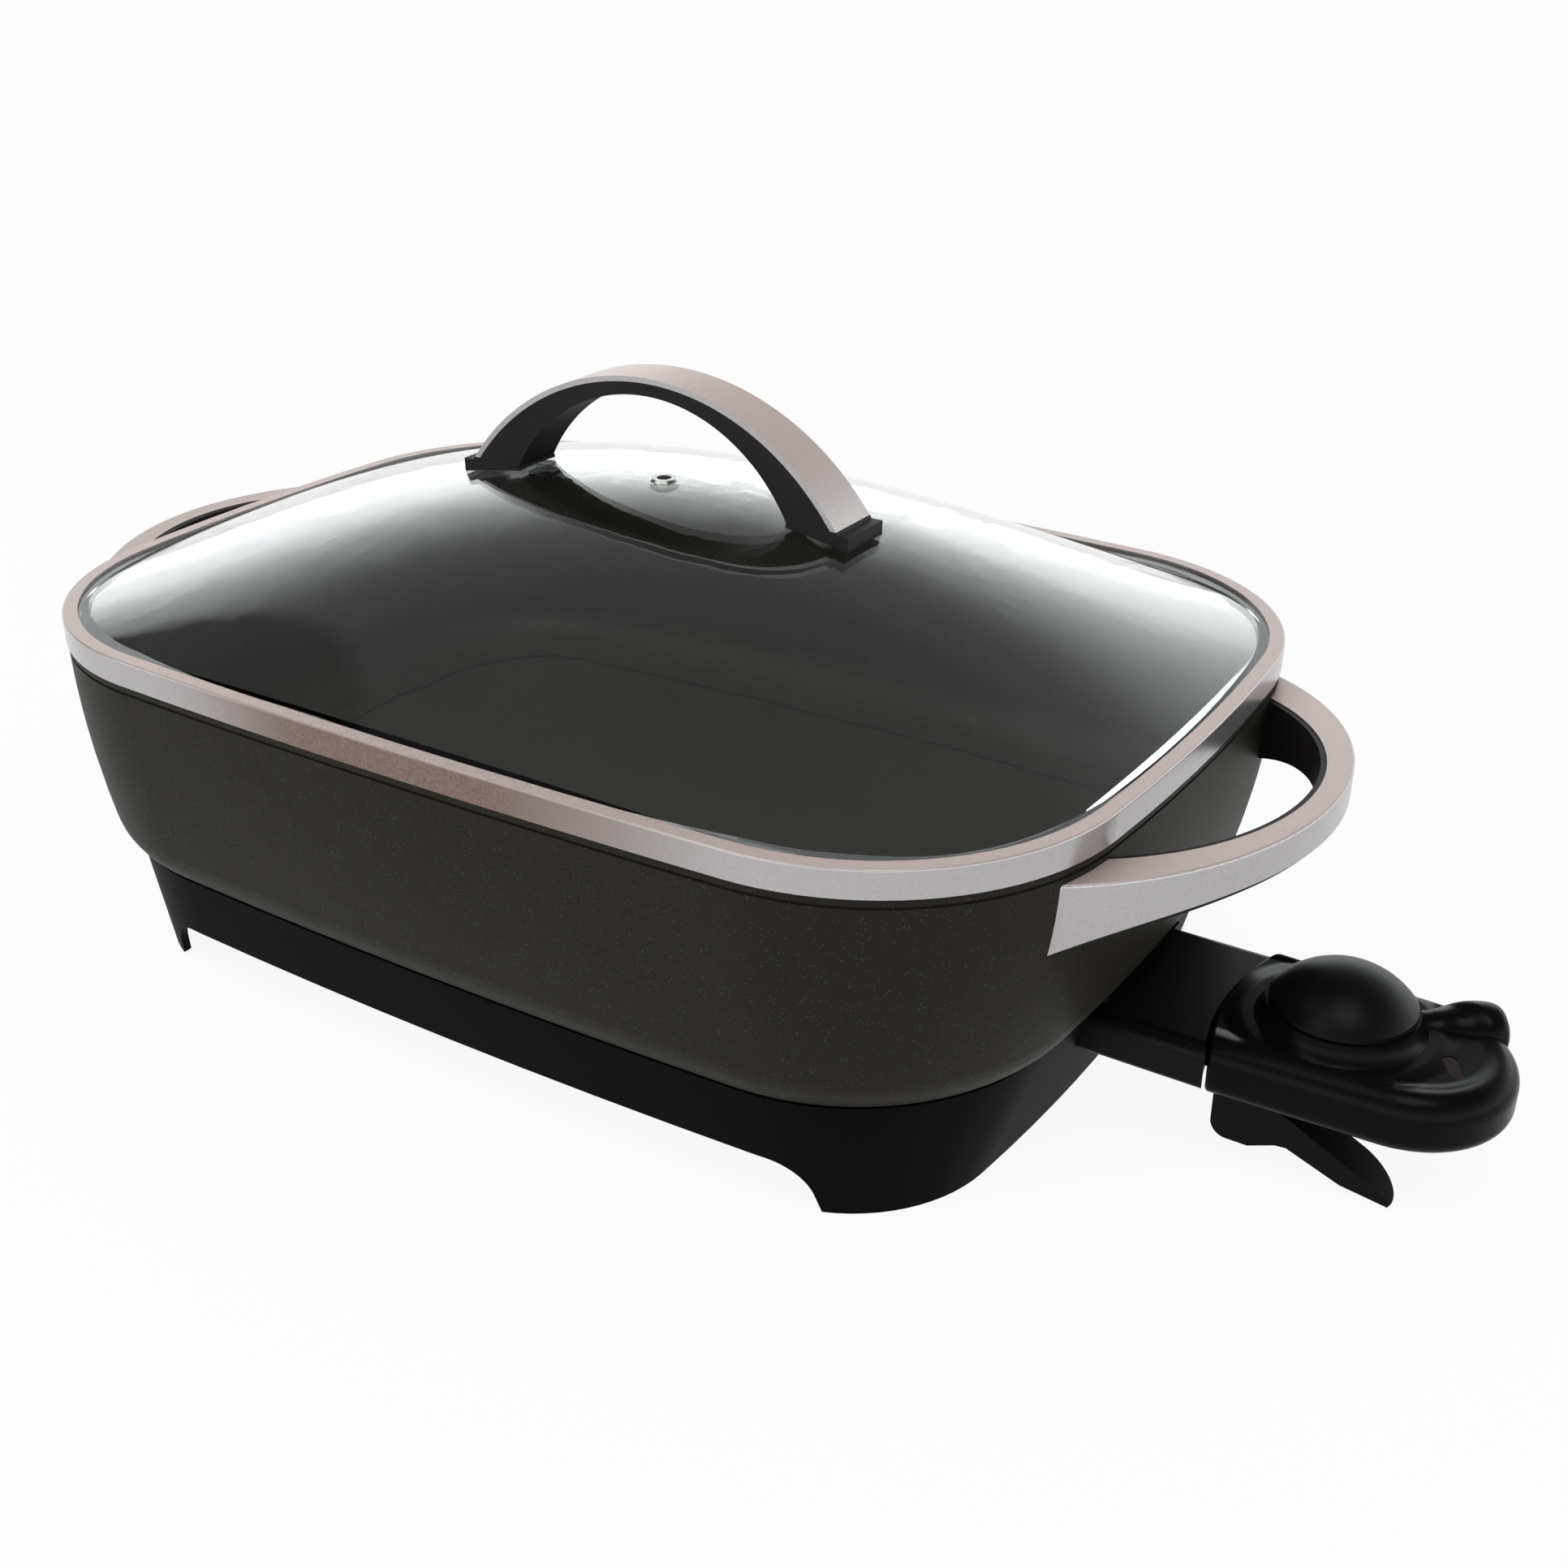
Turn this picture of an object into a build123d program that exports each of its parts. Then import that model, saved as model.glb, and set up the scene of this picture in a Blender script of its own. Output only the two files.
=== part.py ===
from build123d import *
import os
from math import cos, degrees, radians, sin, sqrt

# Electric skillet: cast pan on a moulded base, lift-off glass lid, plug-in heat control.
# All lengths are millimetres. +X points to the plug-in control, +Z up, and the skillet
# stands on z = 0. The shapes are drawn about the pan's centre; save() moves them so that
# the frame's origin lies under the middle of the whole skillet, control included.

# ---- driving dimensions -------------------------------------------------------------
pan_x = -32.0  # pan centre, from the origin

# bowed rectangle that the lid rim, pan, base and glass share
rim_half_length = 200.0
rim_half_width = 143.3
rim_corner = 83.6
side_bow = 0.037  # bulge of a long side over its half length
end_bow = 0.085  # bulge of an end over its half width

# pan
pan_top = 119.3
pan_bottom = 38.0
pan_wall = 3.0
pan_lip_inset = 0.5  # pan wall stands this far inside the lid rim
pan_round = 17.0  # outside radius between wall and bottom
pan_base = 5.0  # thickness of the floor
pan_floor_round = 14.0
end_draft = 11.1  # how far each stretch of wall leans in, at the height of the base's edge
side_draft = 6.9
corner_draft = 7.4
channel_inset = 10.0  # grease channel round the cooking floor
channel_width = 7.0
channel_depth = 1.2
bead_height = 2.0  # bead along the top edge, over a fine groove
bead_groove = 1.0
bead_groove_depth = 0.6

# base skirt
base_edge = 43.4  # joint line between pan and base
base_lip = 0.8  # skirt stops this far under the joint line
skirt_proud = 0.2  # skirt stands this far outside the pan at the joint line
skirt_end_taper = 11.7  # how far each stretch of skirt leans in towards the floor
skirt_side_taper = 7.7
skirt_corner_taper = 19.5
skirt_wall = 3.0
arch_height = 17.9
arch_inset = 40.3  # end of the arch, from the end of the skirt at the floor
arch_splay = 5.0
arch_round = 15.0
ledge_depth = 12.0
ledge_thickness = 3.0

# pan-to-base screws
boss_end_inset = 80.0
boss_side_inset = 51.3
boss_radius = 6.0
boss_drop = 8.0
arm_width = 18.0
arm_thickness = 3.0
base_screw_radius = 2.0
base_screw_head = 4.0
base_screw_head_height = 2.6
head_round = 0.4  # rounding and slot depth of every screw head, as a share of its height
slot_share = 0.12  # half the slot's width, as a share of the head's radius

# heating element, terminals and sensor socket
plug_drop = 4.5  # axis of the pins and of the sensor rod, under the pan
element_radius = 4.0
element_side_inset = 73.3
element_near_inset = 88.0
element_far_inset = 82.0
element_end_inset = 40.0
element_bend = 22.0
land_width = 14.0
pin_pitch = 24.0
pin_radius = 2.5
pin_end_round = 1.5
pin_reach = 8.0  # pin ends, beyond the rim
insulator_radius = 4.4
insulator_length = 10.0
socket_radius = 3.3
socket_inset = 22.0
socket_depth = 52.0
socket_wall = 3.6

# probe guard
guard_reach = 22.0  # beyond the rim
guard_length = 64.0
guard_half_width = 33.0
guard_rise = 3.0  # above the pan's bottom
guard_height = 15.0
guard_wall = 2.5
guard_round = 5.0  # its upper long edges
guard_low_round = 2.0
guard_ear = 10.0
guard_ear_length = 18.0
guard_ear_thickness = 3.0
guard_ear_round = 3.5
flange_thickness = 2.2  # lip of the guard that lies on the pan wall
flange_rise = 4.0

# side handles
handle_reach = 40.5  # middle of the loop, beyond the rim
handle_band = 9.3  # width of the loop there
handle_arc_radius = 101.0  # outer edge of the loop
handle_inner_radius = 75.7
handle_root = 16.0  # how far inside the rim's end the loop starts
handle_drop = 5.4  # top of the loop at the wall, under the pan's rim
handle_lift = 3.5  # rise of its top from wall to tip
handle_depth_at_wall = 25.4
handle_depth_middle = 12.1
handle_depth_at_tip = 10.4
handle_trim = 1.8
handle_trim_round = 0.8
handle_reveal = 2.0  # black core showing under the trim's skirt
handle_lip = 1.8  # black core showing inside the trim
handle_lip_drop = 0.3
lug_size = 12.0
lug_length = 26.4
lug_thickness = 4.0
lug_drop = 12.9
handle_screw_back = 16.2
handle_screw_radius = 1.8
handle_screw_head = 3.4
handle_screw_head_height = 2.2
handle_screw_bite = 5.0
head_play = 0.6

# lid rim and glass
lid_gap = 0.3
rim_height = 9.1
rim_face = 5.0
rim_sheet = 0.9
rim_edge_round = 0.7
glass_thickness = 4.0
glass_edge_inset = 1.4
glass_play = 0.3
glass_seat_play = 0.1
dome_rise = 44.6
dome_squareness = 0.797  # 0 gives an elliptical dome, larger fills its corners
dome_margin = 1.04  # the dome surface is drawn this much larger than the rim
vent_radius = 2.5
vent_flange_radius = 5.0
vent_sheet = 0.8
vent_proud = 0.8
vent_play = 0.1

# lid handle
grip_height = 36.7  # above the glass's crown
grip_band = 6.0  # thickness at the middle
grip_foot_x = 74.3  # where the silver strip ends
grip_inner_x = 54.9  # where the arch underneath starts
grip_toe = 4.7  # how far the foot runs on past the strip
grip_half_width_middle = 9.0
grip_half_width_foot = 11.0
grip_trim = 1.8
grip_lip = 3.6  # height of the foot under the strip's ends
toe_share = 0.3  # the toe stops this share of grip_lip lower
gasket_thickness = 1.2
grip_screw_radius = 2.0
grip_screw_head = 4.2
grip_screw_head_height = 2.8
grip_screw_depth = 6.0
washer_radius = 7.0
washer_thickness = 1.2
washer_gap = 0.2
glass_hole_radius = 3.0

# plug-in heat control
case_gap = 0.3
front_gap = 1.0  # between the guard's mouth and the case's bowed front
front_bow = 6.5
front_round = 1.5
case_front_half_width = 34.5
case_length = 82.7
case_tail_radius = 32.0
case_under = 8.5  # bottom and deck, from the axis of the pins
case_over = 10.5
case_top_round = 8.0
case_low_round = 5.0
case_wall = 2.5
case_flank_wall = 4.0  # round the space for the thermostat
case_post_radius = 4.0
case_screw_radius = 1.5
case_screw_head = 2.9
case_screw_head_height = 2.2
case_screw_bite = 6.0
case_screw_sink = 0.4
front_screw_back = 14.7  # from the case's front
front_screw_y = 22.0
tail_screw_inset = 16.0  # from the case's tail
tail_screw_y = 8.0
dial_back = 28.7  # from the case's front
dial_radius = 22.3
dial_height = 13.0
dial_gap = 0.4
dial_skirt = 1.6
dial_socket = 6.0
hub_rise = 6.0
hub_sink = 1.5
hub_ledge = 0.9
hub_flare = 6.0
hub_sag = 1.2  # hollow of the hub's flank
shaft_radius = 3.0
shaft_play = 0.05
shaft_shoulder_gap = 0.3
shaft_tail_radius = 1.5
shaft_tail = 3.0
gland_angle = 32.0
gland_radius = 9.8
gland_waist = 6.8
gland_swell = 21.0  # where the barrel is widest, along it
gland_drop = 4.5
gland_back = 17.0  # start of the cord barrel, from the dial
gland_side = 12.0
gland_length = 30.0
gland_round = 5.0
gland_bore = 3.6
gland_sleeve = 1.6
gland_root = 8.0  # how far the sleeve reaches back into the case
gland_proud = 0.4
lens_back = 36.0  # from the dial
lens_side = -6.0
lens_turn = -60.0
lens_length = 12.0
lens_width = 4.5
lens_sink = 0.2
lamp_radius = 2.5
lamp_length = 14.0
lamp_end_round = 2.0

# nose that plugs into the guard
nose_length = 36.0  # inside the guard
nose_tail = 9.7  # inside the case
nose_half_width = 25.0
nose_play = 0.5
nose_round = 2.0
sleeve_radius = 3.6
sleeve_play = 0.05
sleeve_inset = 1.5
sleeve_tail_inset = 6.0
sleeve_spare = 4.0  # sleeve bore beyond the pin's end
rod_radius = 3.0
rod_end_round = 2.1
rod_tip_gap = 4.0
rod_tail = 4.0
bracket_sheet = 1.2
bracket_length = 26.0
bracket_half_width = 8.0
bracket_rise = 4.0
bimetal_sheet = 0.9
bimetal_length = 22.0
bimetal_half_width = 3.0
bimetal_drop = 3.4
leaf_sheet = 0.5
leaf_length = 20.0
leaf_half_width = 2.5
contact_radius = 1.6
contact_height = 1.0

# release lever
pivot_back = 7.7  # from the case's front
pivot_drop = 7.0  # under the case
lever_half_width = 24.5
lever_front = 8.0  # ahead of the pivot
lever_gap = 0.3
lever_crest = 1.0  # end of its flat top, behind the pivot, so that it turns clear of the case
lever_block_drop = 12.2  # under the pivot
lever_length = 50.0
lever_fall = 17.0  # tip, under the pivot
lever_notch_back = 22.0
lever_notch_half_width = 10.5
lever_heel_round = 5.5
lever_tip_round = 13.5
lever_pocket_half_width = 15.0
lever_pocket_back = 8.0
lever_pocket_drop = 6.0
lever_pin_radius = 1.5
lever_pin_play = 0.05
lever_pin_inset = 4.0
ear_y = 12.0
ear_radius = 4.0
ear_half_thickness = 2.0
spring_wire = 0.5
spring_coil_radius = 3.0
spring_turns = 4
spring_pitch = 1.3

# ---- sizes that follow ----------------------------------------------------------------
tall = 400.0  # longer than anything it has to pass through

rim_bottom = pan_top + lid_gap
rim_top = rim_bottom + rim_height
glass_top = rim_top - rim_sheet - glass_seat_play
glass_low = glass_top - glass_thickness
glass_crown = glass_top + dome_rise
dome_half_length = rim_half_length - rim_face
dome_half_width = rim_half_width - rim_face

grip_top = glass_crown + grip_height
grip_inner_top = grip_top - grip_band
grip_toe_x = grip_foot_x + grip_toe
grip_screw_x = (grip_foot_x + grip_inner_x) / 2
grip_seat = glass_top + gasket_thickness + dome_rise * (1 - (grip_foot_x / dome_half_length) ** 2)
grip_strip_low = grip_seat + grip_lip
grip_outer_rise = grip_top - grip_strip_low
grip_outer_radius = (grip_foot_x**2 + grip_outer_rise**2) / (2 * grip_outer_rise)
grip_inner_rise = grip_inner_top - grip_strip_low
grip_inner_radius = (grip_inner_x**2 + grip_inner_rise**2) / (2 * grip_inner_rise)

pan_half_length = rim_half_length - pan_lip_inset
pan_half_width = rim_half_width - pan_lip_inset
pan_corner = rim_corner - pan_lip_inset
pan_floor = pan_bottom + pan_base
joint_tuck = pan_round - sqrt(pan_round**2 - (pan_round - base_edge + pan_bottom) ** 2)
boss_x = rim_half_length - boss_end_inset
boss_y = rim_half_width - boss_side_inset

skirt_top = base_edge - base_lip
skirt_top_half_length = pan_half_length - end_draft - joint_tuck + skirt_proud
skirt_top_half_width = pan_half_width - side_draft - joint_tuck + skirt_proud
skirt_top_corner = pan_corner - corner_draft - joint_tuck + skirt_proud
skirt_foot_half_length = skirt_top_half_length - skirt_end_taper
skirt_foot_half_width = skirt_top_half_width - skirt_side_taper
skirt_foot_corner = skirt_top_corner - skirt_corner_taper
arch_half_length = skirt_foot_half_length - arch_inset

plug_z = pan_bottom - plug_drop
element_half_width = rim_half_width - element_side_inset
element_near_x = rim_half_length - element_near_inset
element_far_x = element_far_inset - rim_half_length
element_end_x = rim_half_length - element_end_inset
pin_end_x = rim_half_length + pin_reach
socket_mouth_x = rim_half_length - socket_inset

guard_end_x = rim_half_length + guard_reach
guard_start_x = guard_end_x - guard_length
guard_high = pan_bottom + guard_rise
guard_low = guard_high - guard_height
guard_screw_x = guard_start_x + guard_ear_length / 2

handle_tip_x = rim_half_length + handle_reach
handle_arc_x = handle_tip_x - handle_arc_radius
handle_inner_x = handle_tip_x - handle_band - handle_inner_radius
handle_start_x = rim_half_length - handle_root
handle_top_at_wall = pan_top - handle_drop
handle_top_at_tip = handle_top_at_wall + handle_lift
lug_z = handle_top_at_wall - lug_drop
handle_screw_x = handle_start_x + handle_screw_back
lug_inner_y = sqrt(handle_inner_radius**2 - (handle_screw_x - handle_inner_x) ** 2)
lug_outer_y = sqrt(handle_arc_radius**2 - (handle_screw_x - handle_arc_x) ** 2)
lug_y = (lug_inner_y + lug_outer_y) / 2

case_front_x = guard_end_x + case_gap
case_tail_x = case_front_x + case_length
case_low = plug_z - case_under
case_deck = plug_z + case_over
case_split = plug_z
front_radius = (case_front_half_width**2 + front_bow**2) / (2 * front_bow)
front_centre_x = case_front_x - front_bow + front_radius
cavity_high = case_deck - case_wall
dial_x = case_front_x + dial_back
dial_base = case_deck + hub_rise
dial_low = dial_base + dial_gap
dial_top = dial_base + dial_height
hub_top_radius = dial_radius + hub_ledge
gland_z = case_deck - gland_drop
lens_low = cavity_high

nose_start_x = guard_end_x - nose_length
nose_end_x = case_front_x + nose_tail
nose_low = guard_low + guard_wall + nose_play
nose_high = guard_high - guard_wall - nose_play
rod_tip_x = socket_mouth_x - socket_depth + rod_tip_gap
rod_end_x = nose_end_x + rod_tail
bracket_start_x = rod_end_x + bracket_sheet
bracket_high = case_split + bracket_rise

pivot_x = case_front_x + pivot_back
pivot_z = case_low - pivot_drop
lever_front_x = pivot_x - lever_front
lever_tip_x = pivot_x + lever_length
lever_top = case_low - lever_gap
lever_block_low = pivot_z - lever_block_drop
lever_tip_low = pivot_z - lever_fall


# ---- shared outlines ------------------------------------------------------------------
def outline(half_length, half_width, corner):
    """Face of a rectangle with bowed sides and round corners, eight tangent arcs in all."""
    side_radius = half_length / (2 * side_bow)
    end_radius = half_width / (2 * end_bow)
    side_centre = Vector(0, half_width - side_radius)
    end_centre = Vector(half_length - end_radius, 0)
    span = (end_centre - side_centre).length
    unit = (end_centre - side_centre).normalized()
    side_reach = side_radius - corner
    end_reach = end_radius - corner
    along = (side_reach**2 - end_reach**2 + span**2) / (2 * span)
    across = sqrt(side_reach**2 - along**2)
    centre = side_centre + unit * along + Vector(unit.Y, -unit.X) * across
    to_side = (centre - side_centre).normalized() * corner
    to_end = (centre - end_centre).normalized() * corner
    side = centre + to_side
    end = centre + to_end
    middle = centre + (to_side + to_end).normalized() * corner
    edges = [
        Edge.make_three_point_arc((-side.X, side.Y), (0, half_width), (side.X, side.Y)),
        Edge.make_three_point_arc((side.X, side.Y), (middle.X, middle.Y), (end.X, end.Y)),
        Edge.make_three_point_arc((end.X, end.Y), (half_length, 0), (end.X, -end.Y)),
        Edge.make_three_point_arc((end.X, -end.Y), (middle.X, -middle.Y), (side.X, -side.Y)),
        Edge.make_three_point_arc((side.X, -side.Y), (0, -half_width), (-side.X, -side.Y)),
        Edge.make_three_point_arc((-side.X, -side.Y), (-middle.X, -middle.Y), (-end.X, -end.Y)),
        Edge.make_three_point_arc((-end.X, -end.Y), (-half_length, 0), (-end.X, end.Y)),
        Edge.make_three_point_arc((-end.X, end.Y), (-middle.X, middle.Y), (-side.X, side.Y)),
    ]
    return Face(Wire(edges))


def rim_outline(inset):
    """The lid rim's outline, drawn in by inset."""
    return outline(rim_half_length - inset, rim_half_width - inset, rim_corner - inset)


def slab(face, low, high):
    """A face of the XY plane, raised from low to high."""
    return Pos(0, 0, low) * extrude(face, high - low, dir=(0, 0, 1))


def side_slab(face, half_width):
    """A face of the XZ plane, thickened to both sides of y = 0."""
    return extrude(face, half_width, dir=(0, 1, 0), both=True)


def block(x, y, z):
    """A box from its low and high values along each axis."""
    size = Box(x[1] - x[0], y[1] - y[0], z[1] - z[0])
    return Pos((x[0] + x[1]) / 2, (y[0] + y[1]) / 2, (z[0] + z[1]) / 2) * size


def post(x, y, radius, low, high):
    """An upright cylinder."""
    return Pos(x, y, (low + high) / 2) * Cylinder(radius, high - low)


def rod_x(y, z, radius, start, end):
    """A cylinder along X."""
    return Pos((start + end) / 2, y, z) * Rot(0, 90, 0) * Cylinder(radius, end - start)


def rod_y(x, z, radius, half_length):
    """A cylinder along Y, centred on y = 0."""
    return Pos(x, 0, z) * Rot(90, 0, 0) * Cylinder(radius, 2 * half_length)


def xz_face(points):
    """A polygon in the XZ plane."""
    return make_face(Polyline(*[(x, 0, z) for x, z in points], close=True))


def both_ways(positions, make):
    """One copy of a shape at each position, as separate solids."""
    return Compound([make(*position) for position in positions])


def end_rounded(shape, radius, axis, far):
    """The shape with the round edge at one end of an axis filleted."""
    circles = shape.edges().filter_by(GeomType.CIRCLE).sort_by(axis)
    return shape.fillet(radius, circles[-1:] if far else circles[:1])


# ---- pan ------------------------------------------------------------------------------
def pan_section(z, bottom, corner_round, inward):
    """Pan outline at height z: a curved draft, then the radius that meets the bottom."""
    drop = ((pan_top - z) / (pan_top - base_edge)) ** 2
    rise = min(z - bottom, corner_round)
    tuck = corner_round - sqrt(corner_round**2 - (corner_round - rise) ** 2) + inward
    section = outline(
        pan_half_length - end_draft * drop - tuck,
        pan_half_width - side_draft * drop - tuck,
        pan_corner - corner_draft * drop - tuck,
    )
    return Pos(0, 0, z) * section


def pan_form(bottom, corner_round, inward, above=0.0):
    """Solid from the pan's rim, or just above it, down to a bottom with a round edge."""
    top = pan_top + above
    start = bottom + corner_round
    turns = (0, 22.5, 45, 67.5, 90)
    upper = [top + (start - top) * step / 3 for step in range(4)]
    lower = [bottom + corner_round * (1 - sin(radians(turn))) for turn in turns]
    wall = loft([pan_section(z, bottom, corner_round, inward) for z in upper])
    return wall + loft([pan_section(z, bottom, corner_round, inward) for z in lower])


def element_path():
    """Centre line of the heating element, a loop with both ends at the plug."""
    half_pitch = pin_pitch / 2
    points = [
        (element_end_x, half_pitch),
        (element_near_x + element_bend, half_pitch),
        (element_near_x, element_half_width),
        (element_far_x, element_half_width),
        (element_far_x, -element_half_width),
        (element_near_x, -element_half_width),
        (element_near_x + element_bend, -half_pitch),
        (element_end_x, -half_pitch),
    ]
    radii = [element_bend / 2] + [element_bend] * 4 + [element_bend / 2]
    return FilletPolyline(*[(x, y, 0) for x, y in points], radius=radii)


def make_heating_element():
    path = Pos(0, 0, plug_z) * element_path()
    start = Plane(path @ 0, z_dir=path % 0)
    return sweep(start * Circle(element_radius), path=path)


def make_pan(outside, element):
    inside = pan_form(pan_floor, pan_floor_round, pan_wall, above=1.0)
    floor = pan_section(pan_floor, pan_floor, pan_floor_round, pan_wall)
    land = Pos(0, 0, plug_z) * extrude(trace(element_path(), land_width), pan_bottom - plug_z)
    pan = outside - inside
    floor_length = floor.bounding_box().size.X / 2 - channel_inset
    floor_width = floor.bounding_box().size.Y / 2 - channel_inset
    floor_corner = pan_corner - corner_draft - pan_floor_round - channel_inset
    ring = outline(floor_length, floor_width, floor_corner) - outline(
        floor_length - channel_width, floor_width - channel_width, floor_corner - channel_width
    )
    pan -= slab(ring, pan_floor - channel_depth, pan_floor + channel_depth)
    pan += land
    pan += socket_boss()
    for x, y in corners(boss_x, boss_y):
        pan += post(x, y, boss_radius, pan_bottom - boss_drop, pan_bottom)
        pan -= post(x, y, base_screw_radius, pan_bottom - boss_drop, pan_bottom)
    for x, y in guard_screw_places():
        pan -= post(x, y, base_screw_radius, pan_bottom, pan_bottom + pan_wall / 2)
    pan -= rod_x(0, plug_z, socket_radius, socket_mouth_x - socket_depth, socket_mouth_x)
    for side in (-1, 1):
        pan += handle_lugs(side) - outside
    groove = rim_outline(-pan_wall) - rim_outline(pan_lip_inset + bead_groove_depth)
    pan -= slab(groove, pan_top - bead_height - bead_groove, pan_top - bead_height)
    return pan - element


def socket_boss():
    """Cast boss under the pan that the sensor rod slides into."""
    return block(
        (socket_mouth_x - socket_depth - socket_wall, socket_mouth_x),
        (-socket_radius - socket_wall, socket_radius + socket_wall),
        (nose_low, pan_bottom + pan_wall / 2),
    )


def corners(x, y):
    """The four places at plus and minus x and y."""
    return [(x, y), (-x, y), (-x, -y), (x, -y)]


def make_terminal_pins():
    return both_ways(
        [(pin_pitch / 2,), (-pin_pitch / 2,)],
        lambda y: end_rounded(
            rod_x(y, plug_z, pin_radius, element_end_x, pin_end_x), pin_end_round, Axis.X, True
        ),
    )


def make_terminal_insulators():
    end = element_end_x + insulator_length
    return both_ways(
        [(pin_pitch / 2,), (-pin_pitch / 2,)],
        lambda y: rod_x(y, plug_z, insulator_radius, element_end_x, end)
        - rod_x(y, plug_z, pin_radius, element_end_x, end),
    )


# ---- base -----------------------------------------------------------------------------
def skirt_form(inward, low, high):
    """Tapered solid of the skirt between two heights, drawn in by inward."""
    sections = []
    for z in (high, low):
        share = z / base_edge
        sections.append(
            Pos(0, 0, z)
            * outline(
                skirt_foot_half_length + (skirt_top_half_length - skirt_foot_half_length) * share - inward,
                skirt_foot_half_width + (skirt_top_half_width - skirt_foot_half_width) * share - inward,
                skirt_foot_corner + (skirt_top_corner - skirt_foot_corner) * share - inward,
            )
        )
    return loft(sections, ruled=True)


def arch_cut():
    """Opening under both long sides, wider at the floor."""
    face = xz_face(
        [
            (-arch_half_length - arch_splay, -1),
            (-arch_half_length, arch_height),
            (arch_half_length, arch_height),
            (arch_half_length + arch_splay, -1),
        ]
    )
    cut = side_slab(face, tall / 2)
    return cut.fillet(arch_round, cut.edges().filter_by(Axis.Y).sort_by(Axis.Z)[-2:])


def make_base_skirt(pan_outside, guard_outside):
    skirt = skirt_form(0, 0, skirt_top) - skirt_form(skirt_wall, 0, skirt_top)
    ledge_low = pan_bottom - ledge_thickness
    ledge = skirt_form(skirt_wall / 2, ledge_low, pan_bottom)
    ledge -= skirt_form(skirt_wall + ledge_depth, ledge_low, pan_bottom)
    skirt += ledge
    arm_high = pan_bottom - boss_drop
    arm_low = arm_high - arm_thickness
    reach = skirt_form(skirt_wall / 2, arm_low, arm_high)
    for x, y in corners(boss_x, boss_y):
        side = 1 if y > 0 else -1
        arm = block(
            (x - arm_width / 2, x + arm_width / 2),
            sorted((y - side * arm_width / 2, side * tall / 2)),
            (arm_low, arm_high),
        )
        skirt += arm & reach
        skirt -= post(x, y, base_screw_radius, arm_low, arm_high)
    skirt -= arch_cut()
    ear_half_width = guard_half_width + guard_ear + case_gap
    skirt -= block(
        (guard_start_x - case_gap, guard_start_x + guard_ear_length + case_gap),
        (-ear_half_width, ear_half_width),
        (guard_low - case_gap, pan_bottom + case_gap),
    )
    return skirt - guard_outside - pan_outside


def screw(x, y, head_low, head_radius, head_height, shank_radius, shank_length):
    """Pan-head screw pointing up, its head at the bottom."""
    head = post(x, y, head_radius, head_low, head_low + head_height)
    head = end_rounded(head, head_height * head_round, Axis.Z, False)
    shank = post(x, y, shank_radius, head_low + head_height, head_low + head_height + shank_length)
    slot = block(
        (x - head_radius, x + head_radius),
        (y - head_radius * slot_share, y + head_radius * slot_share),
        (head_low, head_low + head_height * head_round),
    )
    return head + shank - slot


def make_base_screws():
    head_low = pan_bottom - boss_drop - arm_thickness - base_screw_head_height
    return both_ways(
        corners(boss_x, boss_y),
        lambda x, y: screw(
            x,
            y,
            head_low,
            base_screw_head,
            base_screw_head_height,
            base_screw_radius,
            arm_thickness + boss_drop,
        ),
    )


# ---- probe guard ----------------------------------------------------------------------
def guard_screw_places():
    y = guard_half_width + guard_ear / 2
    return [(guard_screw_x, y), (guard_screw_x, -y)]


def guard_form(inward):
    """Box of the guard, or of the space inside it, with round long edges."""
    form = block(
        (guard_start_x, guard_end_x),
        (-guard_half_width + inward, guard_half_width - inward),
        (guard_low + inward, guard_high - inward),
    )
    long_edges = form.edges().filter_by(Axis.X).sort_by(Axis.Z)
    form = form.fillet(guard_round - inward, long_edges[2:])
    if inward < guard_low_round:
        low_edges = form.edges().filter_by(Axis.X).sort_by(Axis.Z)[:2]
        form = form.fillet(guard_low_round - inward, low_edges)
    return form


def guard_flange(pan_outside):
    """Lip of the guard that follows the pan wall above it."""
    wall = pan_form(pan_bottom, pan_round, -flange_thickness)
    reach = block(
        (guard_start_x, guard_end_x),
        (-guard_half_width + guard_round, guard_half_width - guard_round),
        (guard_high - guard_wall, guard_high + flange_rise),
    )
    return (wall & reach) - pan_outside


def make_probe_guard(pan_outside, flange):
    ear_low = pan_bottom - guard_ear_thickness
    guard = guard_form(0) + flange
    ears = block(
        (guard_start_x, guard_start_x + guard_ear_length),
        (-guard_half_width - guard_ear, guard_half_width + guard_ear),
        (ear_low, pan_bottom),
    )
    guard += ears.fillet(guard_ear_round, ears.edges().filter_by(Axis.Z))
    guard -= guard_form(guard_wall)
    guard -= pan_outside
    guard -= socket_boss()
    guard -= block(
        (guard_start_x - 1, guard_start_x + 2 * guard_ear_length),
        (-guard_half_width + guard_wall, guard_half_width - guard_wall),
        (guard_low + guard_wall + guard_round, pan_bottom + 1),
    )
    for x, y in guard_screw_places():
        guard -= post(x, y, base_screw_radius, ear_low, pan_bottom)
    return guard - slab(front_disc(-front_gap), 0, tall)


def make_guard_screws():
    head_low = pan_bottom - guard_ear_thickness - base_screw_head_height
    return both_ways(
        guard_screw_places(),
        lambda x, y: screw(
            x,
            y,
            head_low,
            base_screw_head,
            base_screw_head_height,
            base_screw_radius,
            guard_ear_thickness + pan_wall / 2,
        ),
    )


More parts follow.
